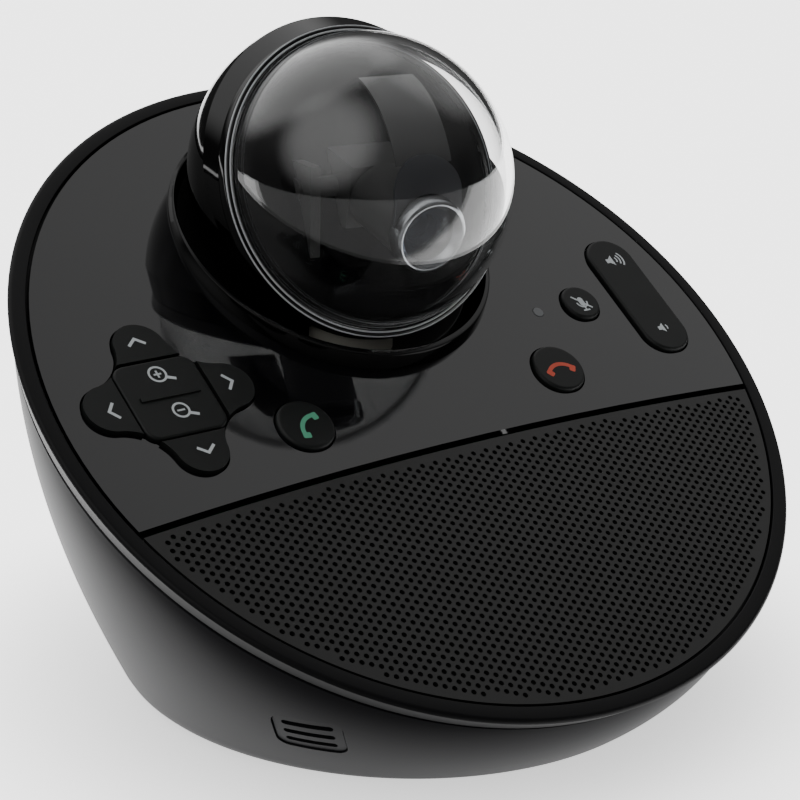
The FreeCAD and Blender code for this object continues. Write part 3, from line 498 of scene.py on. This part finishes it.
@dataclass
class Housing:
    """The satin bowl with its vent and port openings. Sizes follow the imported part."""

    frames: Frames
    foot_r: float = 52.2
    rim_r: float = 74.6
    wall: float = 2.4
    foot_h: float = 1.4
    rim_n: float = -4.9
    bulge: float = 1.6
    count: int = 288
    steps: int = 44
    vent_azimuths: Point2 = (-51.5, 51.5)
    vent_z: float = 14.5
    straight_to: float = 0.992
    rim_inset: float = 0.35
    port_at: tuple[float, float, float] = (0.0, 44.0, 22.0)

    def section(self, share: float, inset: float) -> Ring:
        """One slanted ellipse of the wall.

        Args:
            share: 0 at the foot and 1 at the rim.
            inset: how far inside the outer surface.

        Returns:
            The ring of points in millimetres.
        """
        middle = self.frames.panel.translation / MM
        normal = self.frames.panel.to_3x3().col[2]
        slope = self.frames.panel.to_3x3().col[1]
        rim = middle + normal * self.rim_n
        swing = 1 - (1 - share) ** self.bulge
        half_x = self.foot_r + (self.rim_r - self.foot_r) * swing
        along = Vector((0, (1 - swing) * self.foot_r + swing * self.rim_r * slope.y,
                        share * self.rim_r * slope.z))
        centre = Vector((0, swing * rim.y, self.foot_h + share * (rim.z - self.foot_h)))
        major = half_x - inset
        minor = along.length - inset
        direction = along.normalized()
        turns = [2 * math.pi * i / self.count for i in range(self.count)]
        return [centre + Vector((major * math.cos(a), 0, 0)) + direction * (minor * math.sin(a))
                for a in turns]

    def outside(self) -> list[Ring]:
        """Rings of the outer surface with its rounded lower edge.

        Returns:
            The rings, from foot to rim.
        """
        rounding = [(0.0, 1.5), (0.012, 0.7), (0.035, 0.15), (0.06, 0.0)]
        rings = [self.section(share, inset) for share, inset in rounding]
        start = rounding[-1][0]
        span = self.straight_to - start
        rings += [self.section(start + span * k / self.steps, 0.0) for k in range(1, self.steps + 1)]
        return rings + [self.section(1.0, self.rim_inset)]

    def build(self) -> bpy.types.Object:
        """Make the wall and cut its openings.

        Returns:
            The finished bowl.
        """
        outer = self.outside()
        inner = [self.section(0.04 + 0.96 * (1 - k / self.steps), self.wall) for k in range(self.steps + 1)]
        verts, faces = stack(outer + inner, loop=True)
        made = piece("housing_bowl", verts, faces, Matrix.Identity(4), SATIN_ABS, "base")
        tree = BVHTree.FromPolygons([Vector(v) for v in verts], faces)
        cutters = [self.vent_block(tree, azimuth) for azimuth in self.vent_azimuths]
        port = rounded_block(23.0, 7.0, 2.5, 0.0, 46.0)
        cutters.append((port, axes_matrix(Vector(self.port_at) * MM, Vector((1, 0, 0)), Vector((0, 0, -1)),
                                          Vector((0, 1, 0)))))
        carve(made, cutters)
        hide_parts("lower_housing")
        return made

    def vent_block(self, tree: BVHTree, azimuth: float) -> tuple[tuple, Matrix]:
        """The rounded block that opens the wall for a vent.

        Args:
            tree: the wall's faces, in millimetres.
            azimuth: the vent's direction in degrees, from the front.

        Returns:
            The block's points and faces, and its frame.
        """
        turn = math.radians(azimuth)
        reach = Vector((math.sin(turn), -math.cos(turn), 0))

        def hit(height: float) -> Vector:
            """The outer surface at a height."""
            return tree.ray_cast(Vector((0, 0, height)) + reach * 120, -reach)[0]

        side = Vector((0, 0, 1)).cross(reach).normalized()
        up = (hit(self.vent_z + 1) - hit(self.vent_z - 1)).normalized()
        place = axes_matrix(hit(self.vent_z) * MM, side, up, side.cross(up).normalized())
        return rounded_block(6.25, 5.0, 2.25, -6.0, 4.0), place


def rounded_block(half_w: float, half_h: float, corner: float, low: float, high: float) -> tuple:
    """Points and faces of a block with rounded upright edges, centred on the local z axis."""
    outline = rounded_outline(half_w, half_h, corner)
    return stack([[Vector((x, y, z)) for x, y in outline] for z in (low, high)])


def rounded_outline(half_w: float, half_h: float, corner: float, steps: int = 8) -> list[Point2]:
    """A rounded rectangle centred on the origin.

    Args:
        half_w: half the width.
        half_h: half the height.
        corner: the corner radius.
        steps: the steps of each corner.

    Returns:
        The outline, counter-clockwise.
    """
    spots = ((1, 1, 0), (-1, 1, 90), (-1, -1, 180), (1, -1, 270))
    outline: list[Point2] = []
    for sx, sy, start in spots:
        outline += arc((sx * (half_w - corner), sy * (half_h - corner)), corner, start, start + 90, steps)
    return outline


def carve(target: bpy.types.Object, cutters: list[tuple[tuple, Matrix]]) -> None:
    """Cut shapes out of a piece.

    Args:
        target: the piece.
        cutters: each cutter's points and faces, with its frame.
    """
    helpers = []
    for (verts, faces), place in cutters:
        helper = piece("cutter", verts, faces, place, SATIN_ABS, "base")
        cut = target.modifiers.new("cut", "BOOLEAN")
        cut.operation, cut.solver, cut.object = "DIFFERENCE", "EXACT", helper
        helpers.append(helper)
    graph = bpy.context.evaluated_depsgraph_get()
    carved = bpy.data.meshes.new_from_object(target.evaluated_get(graph))
    target.modifiers.clear()
    target.data = carved
    carved.shade_smooth()
    carved.set_sharp_from_angle(angle=math.radians(Corner.CRISP.value))
    for helper in helpers:
        bpy.data.objects.remove(helper)


@dataclass
class Bezel:
    """The dark ring round the top, with its two softened edges."""

    frames: Frames
    seam_r: float = 73.3
    rim_r: float = 76.4
    band_h: float = 4.4
    draft: float = 1.5

    def build(self) -> bpy.types.Object:
        """Turn the ring.

        Returns:
            The finished ring.
        """
        top = arc((self.rim_r - 0.8, -0.8), 0.8, 90, 0, 6)
        inside = arc((self.seam_r + 0.25, -0.25), 0.25, 180, 90, 4)
        low_r = self.rim_r - self.draft
        profile = inside + top + [(low_r + 0.1, 0.3 - self.band_h), (low_r - 0.3, -self.band_h),
                                  (71.0, -self.band_h), (71.0, -3.2), (70.3, -3.2), (70.3, -1.6),
                                  (self.seam_r, -1.6)]
        verts, faces = lathe(profile, 288)
        made = piece("bezel_rim", verts, faces, self.frames.panel, MATT_ABS, "base", Corner.CRISP)
        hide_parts("bezel_ring")
        return made


@dataclass
class Grille:
    """The punched speaker sheet: round holes in a honeycomb layout inside a plain rim."""

    frames: Frames
    outer_r: float = 72.8
    arc_r: float = 876.0
    arc_v: float = -17.0
    gap: float = 1.2
    margin: float = 1.0
    hole_r: float = 0.5
    column: float = 1.47
    pitch: float = 1.7
    sides: int = 10
    top: float = -0.2
    bottom: float = -1.0

    def inside(self, u: float, v: float, margin: float) -> bool:
        """Whether a point lies inside the sheet.

        Args:
            u: the point's sideways place.
            v: the point's place up the slope.
            margin: how far from the edge it must be.

        Returns:
            True when it lies inside.
        """
        if math.hypot(u, v) > self.outer_r - margin:
            return False
        return math.hypot(u, v - self.arc_v + self.arc_r) < self.arc_r - self.gap - margin

    def outline(self) -> list[Point2]:
        """The sheet's edge.

        Returns:
            The round front and then the long flat arc behind it.
        """
        reach = self.arc_r - self.gap
        centre_v = self.arc_v - self.arc_r
        meet_v = (reach ** 2 - self.outer_r ** 2 - centre_v ** 2) / (-2 * centre_v)
        meet = math.degrees(math.atan2(meet_v, math.sqrt(self.outer_r ** 2 - meet_v ** 2)))
        side_u = self.outer_r * math.cos(math.radians(meet))
        half = math.degrees(math.asin(side_u / reach))
        front = arc((0, 0), self.outer_r, 180 - meet, 360 + meet, 150)
        chord = arc((0, centre_v), reach, 90 - half, 90 + half, 60)
        return front + chord[1:-1]

    def holes(self) -> list[Point2]:
        """Lay out the holes.

        Returns:
            The hole centres.
        """
        span = int(self.outer_r / self.column) + 1
        rise = int(self.outer_r / self.pitch) + 2
        spots = []
        for col in range(-span, span + 1):
            for row in range(-rise, rise + 1):
                u, v = col * self.column, row * self.pitch + (col % 2) * self.pitch / 2
                if self.inside(u, v, self.margin + self.hole_r):
                    spots.append((u, v))
        return spots

    def site(self, u: float, v: float) -> Point2:
        """The nearest place in the honeycomb layout.

        Args:
            u: the point's sideways place.
            v: the point's place up the slope.

        Returns:
            The centre that a hole would have there.
        """
        sites = []
        for col in (math.floor(u / self.column), math.ceil(u / self.column)):
            shift = (col % 2) * self.pitch / 2
            sites.append((col * self.column, round((v - shift) / self.pitch) * self.pitch + shift))
        return min(sites, key=lambda at: math.hypot(u - at[0], v - at[1]))

    def build(self) -> bpy.types.Object:
        """Mesh the sheet round its holes.

        Returns:
            The finished sheet.
        """
        outline, spots = self.outline(), self.holes()
        flat = [Vector(p) for p in outline]
        loops = [list(range(len(outline)))]
        for u, v in spots:
            loops.append(list(range(len(flat), len(flat) + self.sides)))
            flat += [Vector(p) for p in arc((u, v), self.hole_r, 0, 360, self.sides)[:-1]]
        edges = [(loop[i], loop[(i + 1) % len(loop)]) for loop in loops for i in range(len(loop))]
        points, _, found, _, _, _ = delaunay_2d_cdt(flat, edges, [], 0, 1e-6)
        cover = []
        for face in found:
            middle = sum((points[i] for i in face), Vector((0, 0))) / len(face)
            if not self.inside(middle.x, middle.y, 0.0):
                continue
            at = self.site(middle.x, middle.y)
            punched = self.inside(*at, self.margin + self.hole_r)
            if punched and math.hypot(middle.x - at[0], middle.y - at[1]) < self.hole_r * 0.97:
                continue
            cover.append(tuple(face))
        total = len(points)
        verts = [Vector((p.x, p.y, height)) for height in (self.top, self.bottom) for p in points]
        faces = cover + [tuple(i + total for i in reversed(face)) for face in cover]
        faces += rim_walls(cover, total)
        made = piece("grille_sheet", verts, faces, self.frames.panel, POWDER_COAT, "base", Corner.CRISP)
        LOG.info("grille holes: %d", len(spots))
        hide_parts("speaker_grille")
        return made


def rim_walls(cover: list[tuple[int, ...]], total: int) -> list[tuple[int, ...]]:
    """Walls between two copies of a flat cover, along its open edges.

    Args:
        cover: the faces of the upper copy.
        total: how far the lower copy's vertex numbers are shifted.

    Returns:
        The wall faces.
    """
    used = {(face[i], face[(i + 1) % len(face)]) for face in cover for i in range(len(face))}
    return [(b, a, a + total, b + total) for a, b in used if (b, a) not in used]


# ---------------------------------------------------------------- printed icons

def stroke(points: list[Point2], width: float) -> list[Point2]:
    """Give a line some width, with mitred bends.

    Args:
        points: the line's points.
        width: its width.

    Returns:
        The outline.
    """
    left, right = [], []
    for i, (x, y) in enumerate(points):
        before, after = points[max(i - 1, 0)], points[min(i + 1, len(points) - 1)]
        first = Vector((x - before[0], y - before[1]))
        second = Vector((after[0] - x, after[1] - y))
        ways = [w.normalized() for w in (first, second) if w.length > 1e-6]
        mean = sum(ways, Vector((0, 0))).normalized()
        reach = width / 2 / max(0.4, mean.dot(ways[0]))
        left.append((x - mean.y * reach, y + mean.x * reach))
        right.append((x + mean.y * reach, y - mean.x * reach))
    return left + right[::-1]


def moved(outlines: list[list[Point2]], at: Point2, turn: float = 0.0) -> list[list[Point2]]:
    """Turn outlines about the origin, then shift them."""
    c, s = math.cos(math.radians(turn)), math.sin(math.radians(turn))
    return [[(at[0] + x * c - y * s, at[1] + x * s + y * c) for x, y in line] for line in outlines]


def chevron() -> list[list[Point2]]:
    """A chevron that points up."""
    return [stroke([(-1.7, -0.65), (0, 0.75), (1.7, -0.65)], 0.55)]


def loupe(radius: float, plus: bool) -> list[list[Point2]]:
    """A magnifier.

    Args:
        radius: the radius of its glass.
        plus: whether the sign in it is a plus.

    Returns:
        The outlines.
    """
    lines = [stroke(arc((0, 0), radius, 0, 180, 14), 0.4), stroke(arc((0, 0), radius, 180, 360, 14), 0.4),
             stroke([(radius * 0.8, -radius * 0.55), (radius + 1.4, -radius * 0.5 - 0.8)], 0.6),
             stroke([(-0.75, 0), (0.75, 0)], 0.35)]
    if plus:
        lines += [stroke([(0, 0.2), (0, 0.8)], 0.35), stroke([(0, -0.8), (0, -0.2)], 0.35)]
    return lines


def handset(span: float) -> list[list[Point2]]:
    """A telephone handset, hollow side down.

    Args:
        span: how far apart its ends are.

    Returns:
        The outlines.
    """
    half = span / 2
    bridge = arc((0, -half * 1.1), half * 1.35, 144, 36, 12)
    ends = [moved([rounded_outline(0.62, 0.8, 0.3, 3)], (s * half * 0.98, -half * 0.32), s * -35)[0]
            for s in (-1, 1)]
    return [stroke(bridge, 0.85)] + ends


def crossed_microphone() -> list[list[Point2]]:
    """A microphone on its stand, struck through."""
    return [rounded_outline(0.62, 1.15, 0.6, 5), stroke(arc((0, -0.1), 1.25, 180, 360, 14), 0.34),
            stroke([(0, -1.5), (0, -2.1)], 0.34), stroke([(-0.8, -2.2), (0.8, -2.2)], 0.34),
            stroke([(-1.7, 1.6), (1.7, -1.9)], 0.36)]


def loudspeaker(waves: int, size: float) -> list[list[Point2]]:
    """A loudspeaker.

    Args:
        waves: the number of sound waves.
        size: the scale.

    Returns:
        The outlines.
    """
    body = [(-1.5, -0.45), (-0.85, -0.45), (0.0, -1.15), (0.0, 1.15), (-0.85, 0.45), (-1.5, 0.45)]
    lines = [body] + [stroke(arc((0.1, 0), 0.75 + 0.7 * k, -42, 42, 8), 0.3) for k in range(waves)]
    return [[(x * size, y * size) for x, y in line] for line in lines]


@dataclass
class Print:
    """One printed icon: thin ink on top of a key, which reaches a little way into it."""

    name: str
    body: str
    outlines: list[list[Point2]]
    finish: Finish = GREY_INK
    base: float = 0.9
    thick: float = 0.03
    sunk: float = 0.02

    def build(self, frames: Frames) -> bpy.types.Object:
        """Lay the ink on the key.

        Args:
            frames: the local frames.

        Returns:
            The finished print.
        """
        verts: list[Vector] = []
        faces: list[tuple[int, ...]] = []
        for depth, line in enumerate(self.outlines):
            low = self.base - self.sunk
            high = self.base + self.thick + depth * 0.001
            more, sides = stack([[Vector((x, y, z)) for x, y in line] for z in (low, high)])
            faces += [tuple(i + len(verts) for i in face) for face in sides]
            verts += more
        made = piece(self.name, verts, faces, frames.panel, self.finish, self.body, Corner.CRISP)
        return made


def key_prints() -> list[Print]:
    """List the icons.

    Returns:
        Every icon with its place on the keys.
    """
    prints = [Print(f"icon_{key}", f"{key}_key_body", moved(chevron(), at, turn)) for key, at, turn in (
        ("tilt_up", (-51.8, 17.2), 0), ("pan_left", (-63.1, 3.9), 90), ("pan_right", (-39.2, 5.1), -90),
        ("tilt_down", (-50.6, -7.6), 180))]
    return prints + [
        Print("icon_zoom_in", "zoom_rocker_body", moved(loupe(1.6, True), (-51.4, 9.6))),
        Print("icon_zoom_out", "zoom_rocker_body", moved(loupe(1.5, False), (-51.0, 1.3))),
        Print("icon_answer", "answer_key_body", moved(handset(5.2), (-29.6, -7.0), 45), GREEN_INK),
        Print("icon_hangup", "hangup_key_body", moved(handset(5.6), (29.6, -7.0)), RED_INK),
        Print("icon_mute", "mute_key_body", moved(crossed_microphone(), (45.3, 6.9))),
        Print("icon_louder", "volume_rocker_body", moved(loudspeaker(3, 1.15), (60.1, 15.4))),
        Print("icon_softer", "volume_rocker_body", moved(loudspeaker(1, 1.0), (60.3, -3.2)))]


# ---------------------------------------------------------------- ball head

@dataclass
class Collar:
    """The glossy collar that the ball sits in, with a slanting top and a conical mouth."""

    frames: Frames
    at_v: float = 33.0
    radius: float = 32.4
    height: float = 3.5
    fall: float = 2.57
    mouth_shift: float = 1.3
    mouth_r: float = 29.2
    mouth_top_r: float = 31.9
    mouth_low: float = -2.0
    mouth_rise: float = 6.0
    count: int = 224

    def build(self) -> bpy.types.Object:
        """Make the collar.

        Returns:
            The finished collar.
        """
        drop = math.tan(math.radians(self.fall))
        cone = (self.mouth_top_r - self.mouth_r) / self.mouth_rise
        rings: list[Ring] = [[] for _ in range(10)]
        for i in range(self.count):
            a = 2 * math.pi * i / self.count
            way = Vector((math.cos(a), math.sin(a)))
            top = self.height - (way.y * self.radius + self.radius) * drop
            stations = [(31.1, -1.6), (31.1, 0.0), (32.4, 0.0), (32.34, 0.5), (31.85, top - 0.45),
                        (31.72, top - 0.12), (31.5, top)]
            for ring, (r, n) in zip(rings, stations):
                ring.append(Vector((way.x * r, way.y * r + self.at_v, n)))
            for ring, n, r in ((rings[7], top, 0.25), (rings[8], top - 0.3, 0.0), (rings[9], -1.6, 0.0)):
                mouth = self.mouth_r + (n - self.mouth_low) * cone + r
                ring.append(Vector((way.x * mouth, way.y * mouth + self.at_v + self.mouth_shift, n)))
        verts, faces = stack(rings, loop=True)
        made = piece("collar_ring", verts, faces, self.frames.panel, BALL_ABS, "base", Corner.CRISP)
        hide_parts("head_collar")
        return made


@dataclass
class BallHead:
    """The ball: round shell, band, retaining ring, pale beads of painted highlight, clear dome and the
    slotted mask.
    """

    frames: Frames
    shell_r: float = 29.6
    shell_t: float = 1.8
    shell_y: float = 3.004
    shell_z: float = -6.767
    shell_cut: float = -5.5
    band_top: float = -0.8
    ring_r: float = 29.3
    dome_r: float = 27.8
    dome_t: float = 1.5
    mask_r: float = 25.0
    mask_t: float = 1.1
    slot_half: float = 7.5
    slot_low: float = -17.0
    slot_high: float = 43.0
    shell_steps: int = 48
    band_steps: int = 8
    seat_r: float = 25.2
    seat_h: float = 1.4
    foot_high: float = 1.6
    foot_low: float = 0.6
    foot_r: float = 28.6
    flange_r: float = 27.4
    flange_high: float = 0.4
    flange_low: float = -0.8
    spread_y: float = 3.9
    dome_turn: float = -68.0
    end_steps: int = 32
    side_steps: int = 24
    count: int = 192

    def build(self) -> None:
        """Make every part of the ball."""
        self.shell()
        self.band()
        self.trim()
        self.beads()
        self.dome()
        self.mask()

    def shell(self) -> None:
        """The round rear shell."""
        rings = []
        for radius, down in ((self.shell_r, False), (self.shell_r - self.shell_t, True)):
            last = math.asin((self.shell_cut - self.shell_z) / radius)
            turns = [-math.pi / 2 + (last + math.pi / 2) * k / self.shell_steps
                     for k in range(self.shell_steps + 1)]
            for a in reversed(turns) if down else turns:
                rings.append(circle(radius * math.cos(a), self.shell_z + radius * math.sin(a), self.count,
                                    (0, self.shell_y)))
        verts, faces = stack(rings, close_first=False, close_last=False)
        inner_start = (self.shell_steps + 1) * self.count
        faces = [f for f in faces if max(f) < inner_start or min(f) >= inner_start
                 or all(abs(verts[i].z - self.shell_cut) < 1e-6 for i in f)]
        made = piece("rear_shell", verts, faces, self.frames.dome, BALL_ABS, "head")
        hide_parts("ball_shell")

    def band(self) -> None:
        """The plain band between the round shell and the retaining ring."""
        start_r = math.sqrt(self.shell_r ** 2 - (self.shell_cut - self.shell_z) ** 2)
        rings = []
        for k in range(self.band_steps + 1):
            s = k / self.band_steps
            height = self.shell_cut + (self.band_top - self.shell_cut) * s
            at = (0, self.shell_y * (1 - s))
            rings.append(circle(start_r + (self.ring_r - start_r) * s, height, self.count, at))
        rings.append(circle(self.seat_r, self.band_top, self.count))
        rings.append(circle(self.seat_r, self.band_top - self.seat_h, self.count))
        rings.append(circle(self.dome_r, self.band_top - self.seat_h, self.count))
        rings.append(circle(start_r - 1.7, self.shell_cut, self.count, (0, self.shell_y)))
        verts, faces = stack(rings, loop=True)
        made = piece("shell_skirt", verts, faces, self.frames.dome, BALL_ABS, "head", Corner.CRISP)
        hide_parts("shell_band")

    def trim(self) -> None:
        """The black ring that holds the dome."""
        profile = [(28.7, self.band_top), (29.1, self.band_top), (self.ring_r, -0.6), (self.ring_r, 1.2),
                   (29.2, 1.6), (28.95, 1.9), (28.5, 2.1), (28.0, 2.05), (28.0, 1.7), (28.7, 1.7)]
        verts, faces = lathe(profile, self.count)
        made = piece("retaining_ring", verts, faces, self.frames.dome, BALL_ABS, "head", Corner.CRISP)
        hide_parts("dome_trim_ring")

    def beads(self) -> None:
        """Two thin pale beads round the foot of the dome, their pale colour a painted highlight of the
        flange's edges.
        """
        for name, radius, height, thick in (
                ("inner_bead", 28.2, 2.0, 0.2), ("outer_bead", 29.0, 1.75, 0.18)):
            verts, faces = lathe(arc((radius, height), thick, 0, 360, 12)[:-1], self.count)
            made = piece(name, verts, faces, self.frames.dome, PAINTED_HIGHLIGHT, "head")

    def dome(self) -> None:
        """The clear dome with its stepped flange."""
        inner = self.dome_r - self.dome_t
        low = math.degrees(math.asin(self.foot_high / self.dome_r))
        low_in = math.degrees(math.asin(self.foot_low / inner))
        profile = arc((0, 0), self.dome_r, 90, low, 64)
        profile += [(self.foot_r, self.foot_high), (self.foot_r, self.foot_low)]
        profile += arc((0, 0), inner, low_in, 90, 64)
        verts, faces = stack([circle(max(r, 0.0), h, self.count) for r, h in profile], False, False)
        made = piece("dome_shell", verts, faces, self.frames.dome, CLEAR_DOME, "head")
        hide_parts("clear_dome")

    def slot_ring(self, radius: float) -> Ring:
        """The slot's edge on a sphere about the tilt axis.

        Args:
            radius: the sphere's radius.

        Returns:
            The edge's points in the dome frame.
        """
        turn = Matrix.Rotation(math.radians(self.dome_turn), 3, "X")
        reach = math.sqrt(radius ** 2 - self.slot_half ** 2)
        ring: Ring = []

        def end(elevation: float, start: float) -> None:
            """Add the round end at an elevation."""
            e = math.radians(elevation)
            for k in range(self.end_steps):
                a = math.radians(start + 180 * k / self.end_steps)
                rise = self.slot_half * math.sin(a)
                ring.append(Vector((self.slot_half * math.cos(a), -reach * math.cos(e) + rise * math.sin(e),
                                    reach * math.sin(e) + rise * math.cos(e))))

        def side(x: float, first: float, last: float) -> None:
            """Add a straight side between two elevations."""
            for k in range(self.side_steps):
                e = math.radians(first + (last - first) * k / self.side_steps)
                ring.append(Vector((x, -reach * math.cos(e), reach * math.sin(e))))

        end(self.slot_high, 0.0)
        side(-self.slot_half, self.slot_high, self.slot_low)
        end(self.slot_low, 180.0)
        side(self.slot_half, self.slot_low, self.slot_high)
        return [turn @ p for p in ring]

    def mask(self) -> None:
        """The black inner mask, open where the lens travels."""
        rings: list[Ring] = []
        inner_r = self.mask_r - self.mask_t
        angles = [math.atan2(p.y + self.spread_y, p.x) for p in self.slot_ring(self.mask_r)]

        def flat(radius: float, height: float) -> Ring:
            """A level ring with the slot's point count."""
            return [Vector((radius * math.cos(a), radius * math.sin(a), height)) for a in angles]

        def sheet(radius: float, foot: float) -> list[Ring]:
            """Rings on a sphere from the slot's edge down to the foot."""
            start = self.slot_ring(radius)
            reach = math.sqrt(radius ** 2 - foot ** 2)
            stop = flat(reach, foot)
            return [[a.slerp(b, k / self.side_steps) for a, b in zip(start, stop)]
                    for k in range(self.side_steps + 1)]

        rings += sheet(self.mask_r, self.flange_high)
        rings += [flat(self.flange_r, self.flange_high), flat(self.flange_r, self.flange_low)]
        rings.append(flat(inner_r, self.flange_low))
        rings += reversed(sheet(inner_r, 0.0))
        verts, faces = stack(rings, loop=True)
        made = piece("slotted_mask", verts, faces, self.frames.dome, MASK_ABS, "head", Corner.CRISP)
        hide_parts("inner_mask")


@dataclass
class Lens:
    """The lens on its tilting carriage: plated ring, coated front element and the stepped bore behind it."""

    frames: Frames
    elevation: float = -12.0
    front_curve: float = 9.0
    front_r: float = 4.95
    rear_curve: float = 4.0
    rear_r: float = 1.88

    def place(self) -> Matrix:
        """Work out the lens frame.

        Returns:
            The frame with z along the lens, from the tilt axis.
        """
        across = self.frames.tilt.to_3x3().col[0]
        ahead = -self.frames.tilt.to_3x3().col[1]
        e = math.radians(self.elevation)
        out = ahead * math.cos(e) + Vector((0, 0, math.sin(e)))
        return axes_matrix(self.frames.tilt.translation, across, out.cross(across), out)

    @staticmethod
    def crown(curve: float, centre: float, edge: float, steps: int) -> list[Point2]:
        """The domed face of an element, from the axis to the edge.

        Args:
            curve: the radius of curvature.
            centre: the height of the centre of curvature.
            edge: the radius of the element.
            steps: the steps along the face.

        Returns:
            The profile of (radius, height) points.
        """
        turns = [math.asin(edge / curve) * k / steps for k in range(steps + 1)]
        return [(curve * math.sin(a), centre + curve * math.cos(a)) for a in turns]

    def build(self) -> None:
        """Make the lens parts."""
        place = self.place()
        ring = [(5.0, 21.0), (6.9, 21.0), (6.9, 23.6), (6.75, 24.0), (6.5, 24.2), (6.25, 24.3), (6.0, 24.25),
                (5.5, 23.75), (5.1, 23.1), (5.0, 23.0)]
        glass = self.crown(self.front_curve, 15.4, self.front_r, 24)
        glass += [(self.front_r, 21.3), (0.0, 21.3)]
        bore = [(3.55, 12.0), (3.55, 21.2), (3.1, 21.2), (2.9, 20.2), (2.6, 20.2), (2.4, 19.0), (2.1, 19.0),
                (1.9, 17.6), (1.9, 12.0)]
        rear = self.crown(self.rear_curve, 14.2, self.rear_r, 16)
        rear += [(self.rear_r, 15.0), (0.0, 15.0)]
        for name, profile, finish, node, slot_name in (
                ("lens_bezel", ring, SATIN_CHROME, "lens_ring", "trim_chrome"),
                ("lens_element", glass, LENS_GLASS, "front_lens", "lens_glass"),
                ("lens_bore", bore, INNER_BLACK, None, "inner_black"),
                ("rear_element", rear, LENS_GLASS, None, "lens_glass")):
            verts, faces = lathe(profile, 96)
            made = piece(name, verts, faces, place, finish, "lens_unit", Corner.CRISP)
            if node:
                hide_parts(node)


# ---------------------------------------------------------------- studio

@dataclass(frozen=True)
class Glow:
    """A soft round light in the surroundings.

    The edge and core fields are the cosines where the glow begins and where it is full.
    """

    direction: tuple[float, float, float]
    edge: float
    core: float
    strength: float


class Studio:
    """Pale floor, a dim room with soft glows, and the camera."""

    CAMERA_AT = (-0.24412, -0.30691, 0.18193)
    CAMERA_AXES = ((0.78803, -0.61524, 0.02215), (0.17578, 0.25933, 0.94966), (-0.59001, -0.74446, 0.31251))
    LENS_MM = 99.614
    SENSOR_MM = 36.0
    FLOOR_HALF = 6.0
    # How high the surroundings start and stop to brighten, each with the strength there.
    LOW_SKY = (0.1, 0.05)
    HIGH_SKY = (0.85, 0.35)
    GLOWS = (Glow((-0.70, -0.20, 0.64), 0.72, 0.97, 2.0), Glow((-0.05, 0.65, 0.76), 0.72, 0.88, 1.5),
             Glow((0.66, 0.06, 0.75), 0.86, 0.99, 0.95))

    def build(self) -> None:
        """Set up floor, room and camera."""
        self.floor()
        self.room()
        self.camera()

    def floor(self) -> None:
        """A wide flat floor."""
        mesh = bpy.data.meshes.new("studio_floor")
        signs = ((-1, -1), (1, -1), (1, 1), (-1, 1))
        corners = [(x * self.FLOOR_HALF, y * self.FLOOR_HALF, 0) for x, y in signs]
        mesh.from_pydata(corners, [], [(0, 1, 2, 3)])
        made = bpy.data.objects.new("studio_floor", mesh)
        bpy.context.scene.collection.objects.link(made)
        mesh.materials.append(STUDIO_WHITE.material())

    def room(self) -> None:
        """Dim surroundings that brighten overhead, with soft glows in them."""
        world = bpy.data.worlds.new("studio_room")
        world.use_nodes = True
        tree = world.node_tree
        tree.nodes.clear()
        way = add_node(tree, "ShaderNodeTexCoord").outputs["Generated"]
        height = add_node(tree, "ShaderNodeSeparateXYZ", {}, {"Vector": way}).outputs["Z"]
        total = add_node(tree, "ShaderNodeMapRange", {
            "interpolation_type": "SMOOTHSTEP", "From Min": self.LOW_SKY[0], "From Max": self.HIGH_SKY[0],
            "To Min": self.LOW_SKY[1], "To Max": self.HIGH_SKY[1]}, {"Value": height}).outputs["Result"]
        for glow in self.GLOWS:
            facing = add_node(tree, "ShaderNodeVectorMath", {
                "operation": "DOT_PRODUCT", 1: Vector(glow.direction).normalized()}, {0: way})
            soft = add_node(tree, "ShaderNodeMapRange", {
                "interpolation_type": "SMOOTHSTEP", "From Min": glow.edge, "From Max": glow.core,
                "To Max": glow.strength}, {"Value": facing.outputs["Value"]})
            total = add_node(tree, "ShaderNodeMath", {"operation": "ADD"},
                             {0: total, 1: soft.outputs["Result"]}).outputs["Value"]
        light = add_node(tree, "ShaderNodeBackground", {}, {"Strength": total})
        add_node(tree, "ShaderNodeOutputWorld", {}, {"Surface": light.outputs["Background"]})
        bpy.context.scene.world = world

    def camera(self) -> None:
        """The camera, set by its axes."""
        data = bpy.data.cameras.new("view_camera")
        data.lens, data.sensor_width = self.LENS_MM, self.SENSOR_MM
        eye = bpy.data.objects.new("view_camera", data)
        bpy.context.scene.collection.objects.link(eye)
        eye.matrix_world = axes_matrix(Vector(self.CAMERA_AT), *[Vector(a) for a in self.CAMERA_AXES])
        bpy.context.scene.camera = eye


def dress_nodes() -> None:
    """Give every carried-over node its finish."""
    for finish, names in NODE_FINISHES.items():
        for name in names:
            mesh = frame["nodes"][name].data
            mesh.materials.clear()
            mesh.materials.append(finish.material())


def main() -> None:
    """Build everything in order."""
    logging.basicConfig(level=logging.INFO)
    frames = Frames()
    dress_nodes()
    Housing(frames).build()
    Bezel(frames).build()
    Grille(frames).build()
    Collar(frames).build()
    BallHead(frames).build()
    Lens(frames).build()
    for item in key_prints():
        item.build(frames)
    Studio().build()


if __name__ == "__main__":
    main()
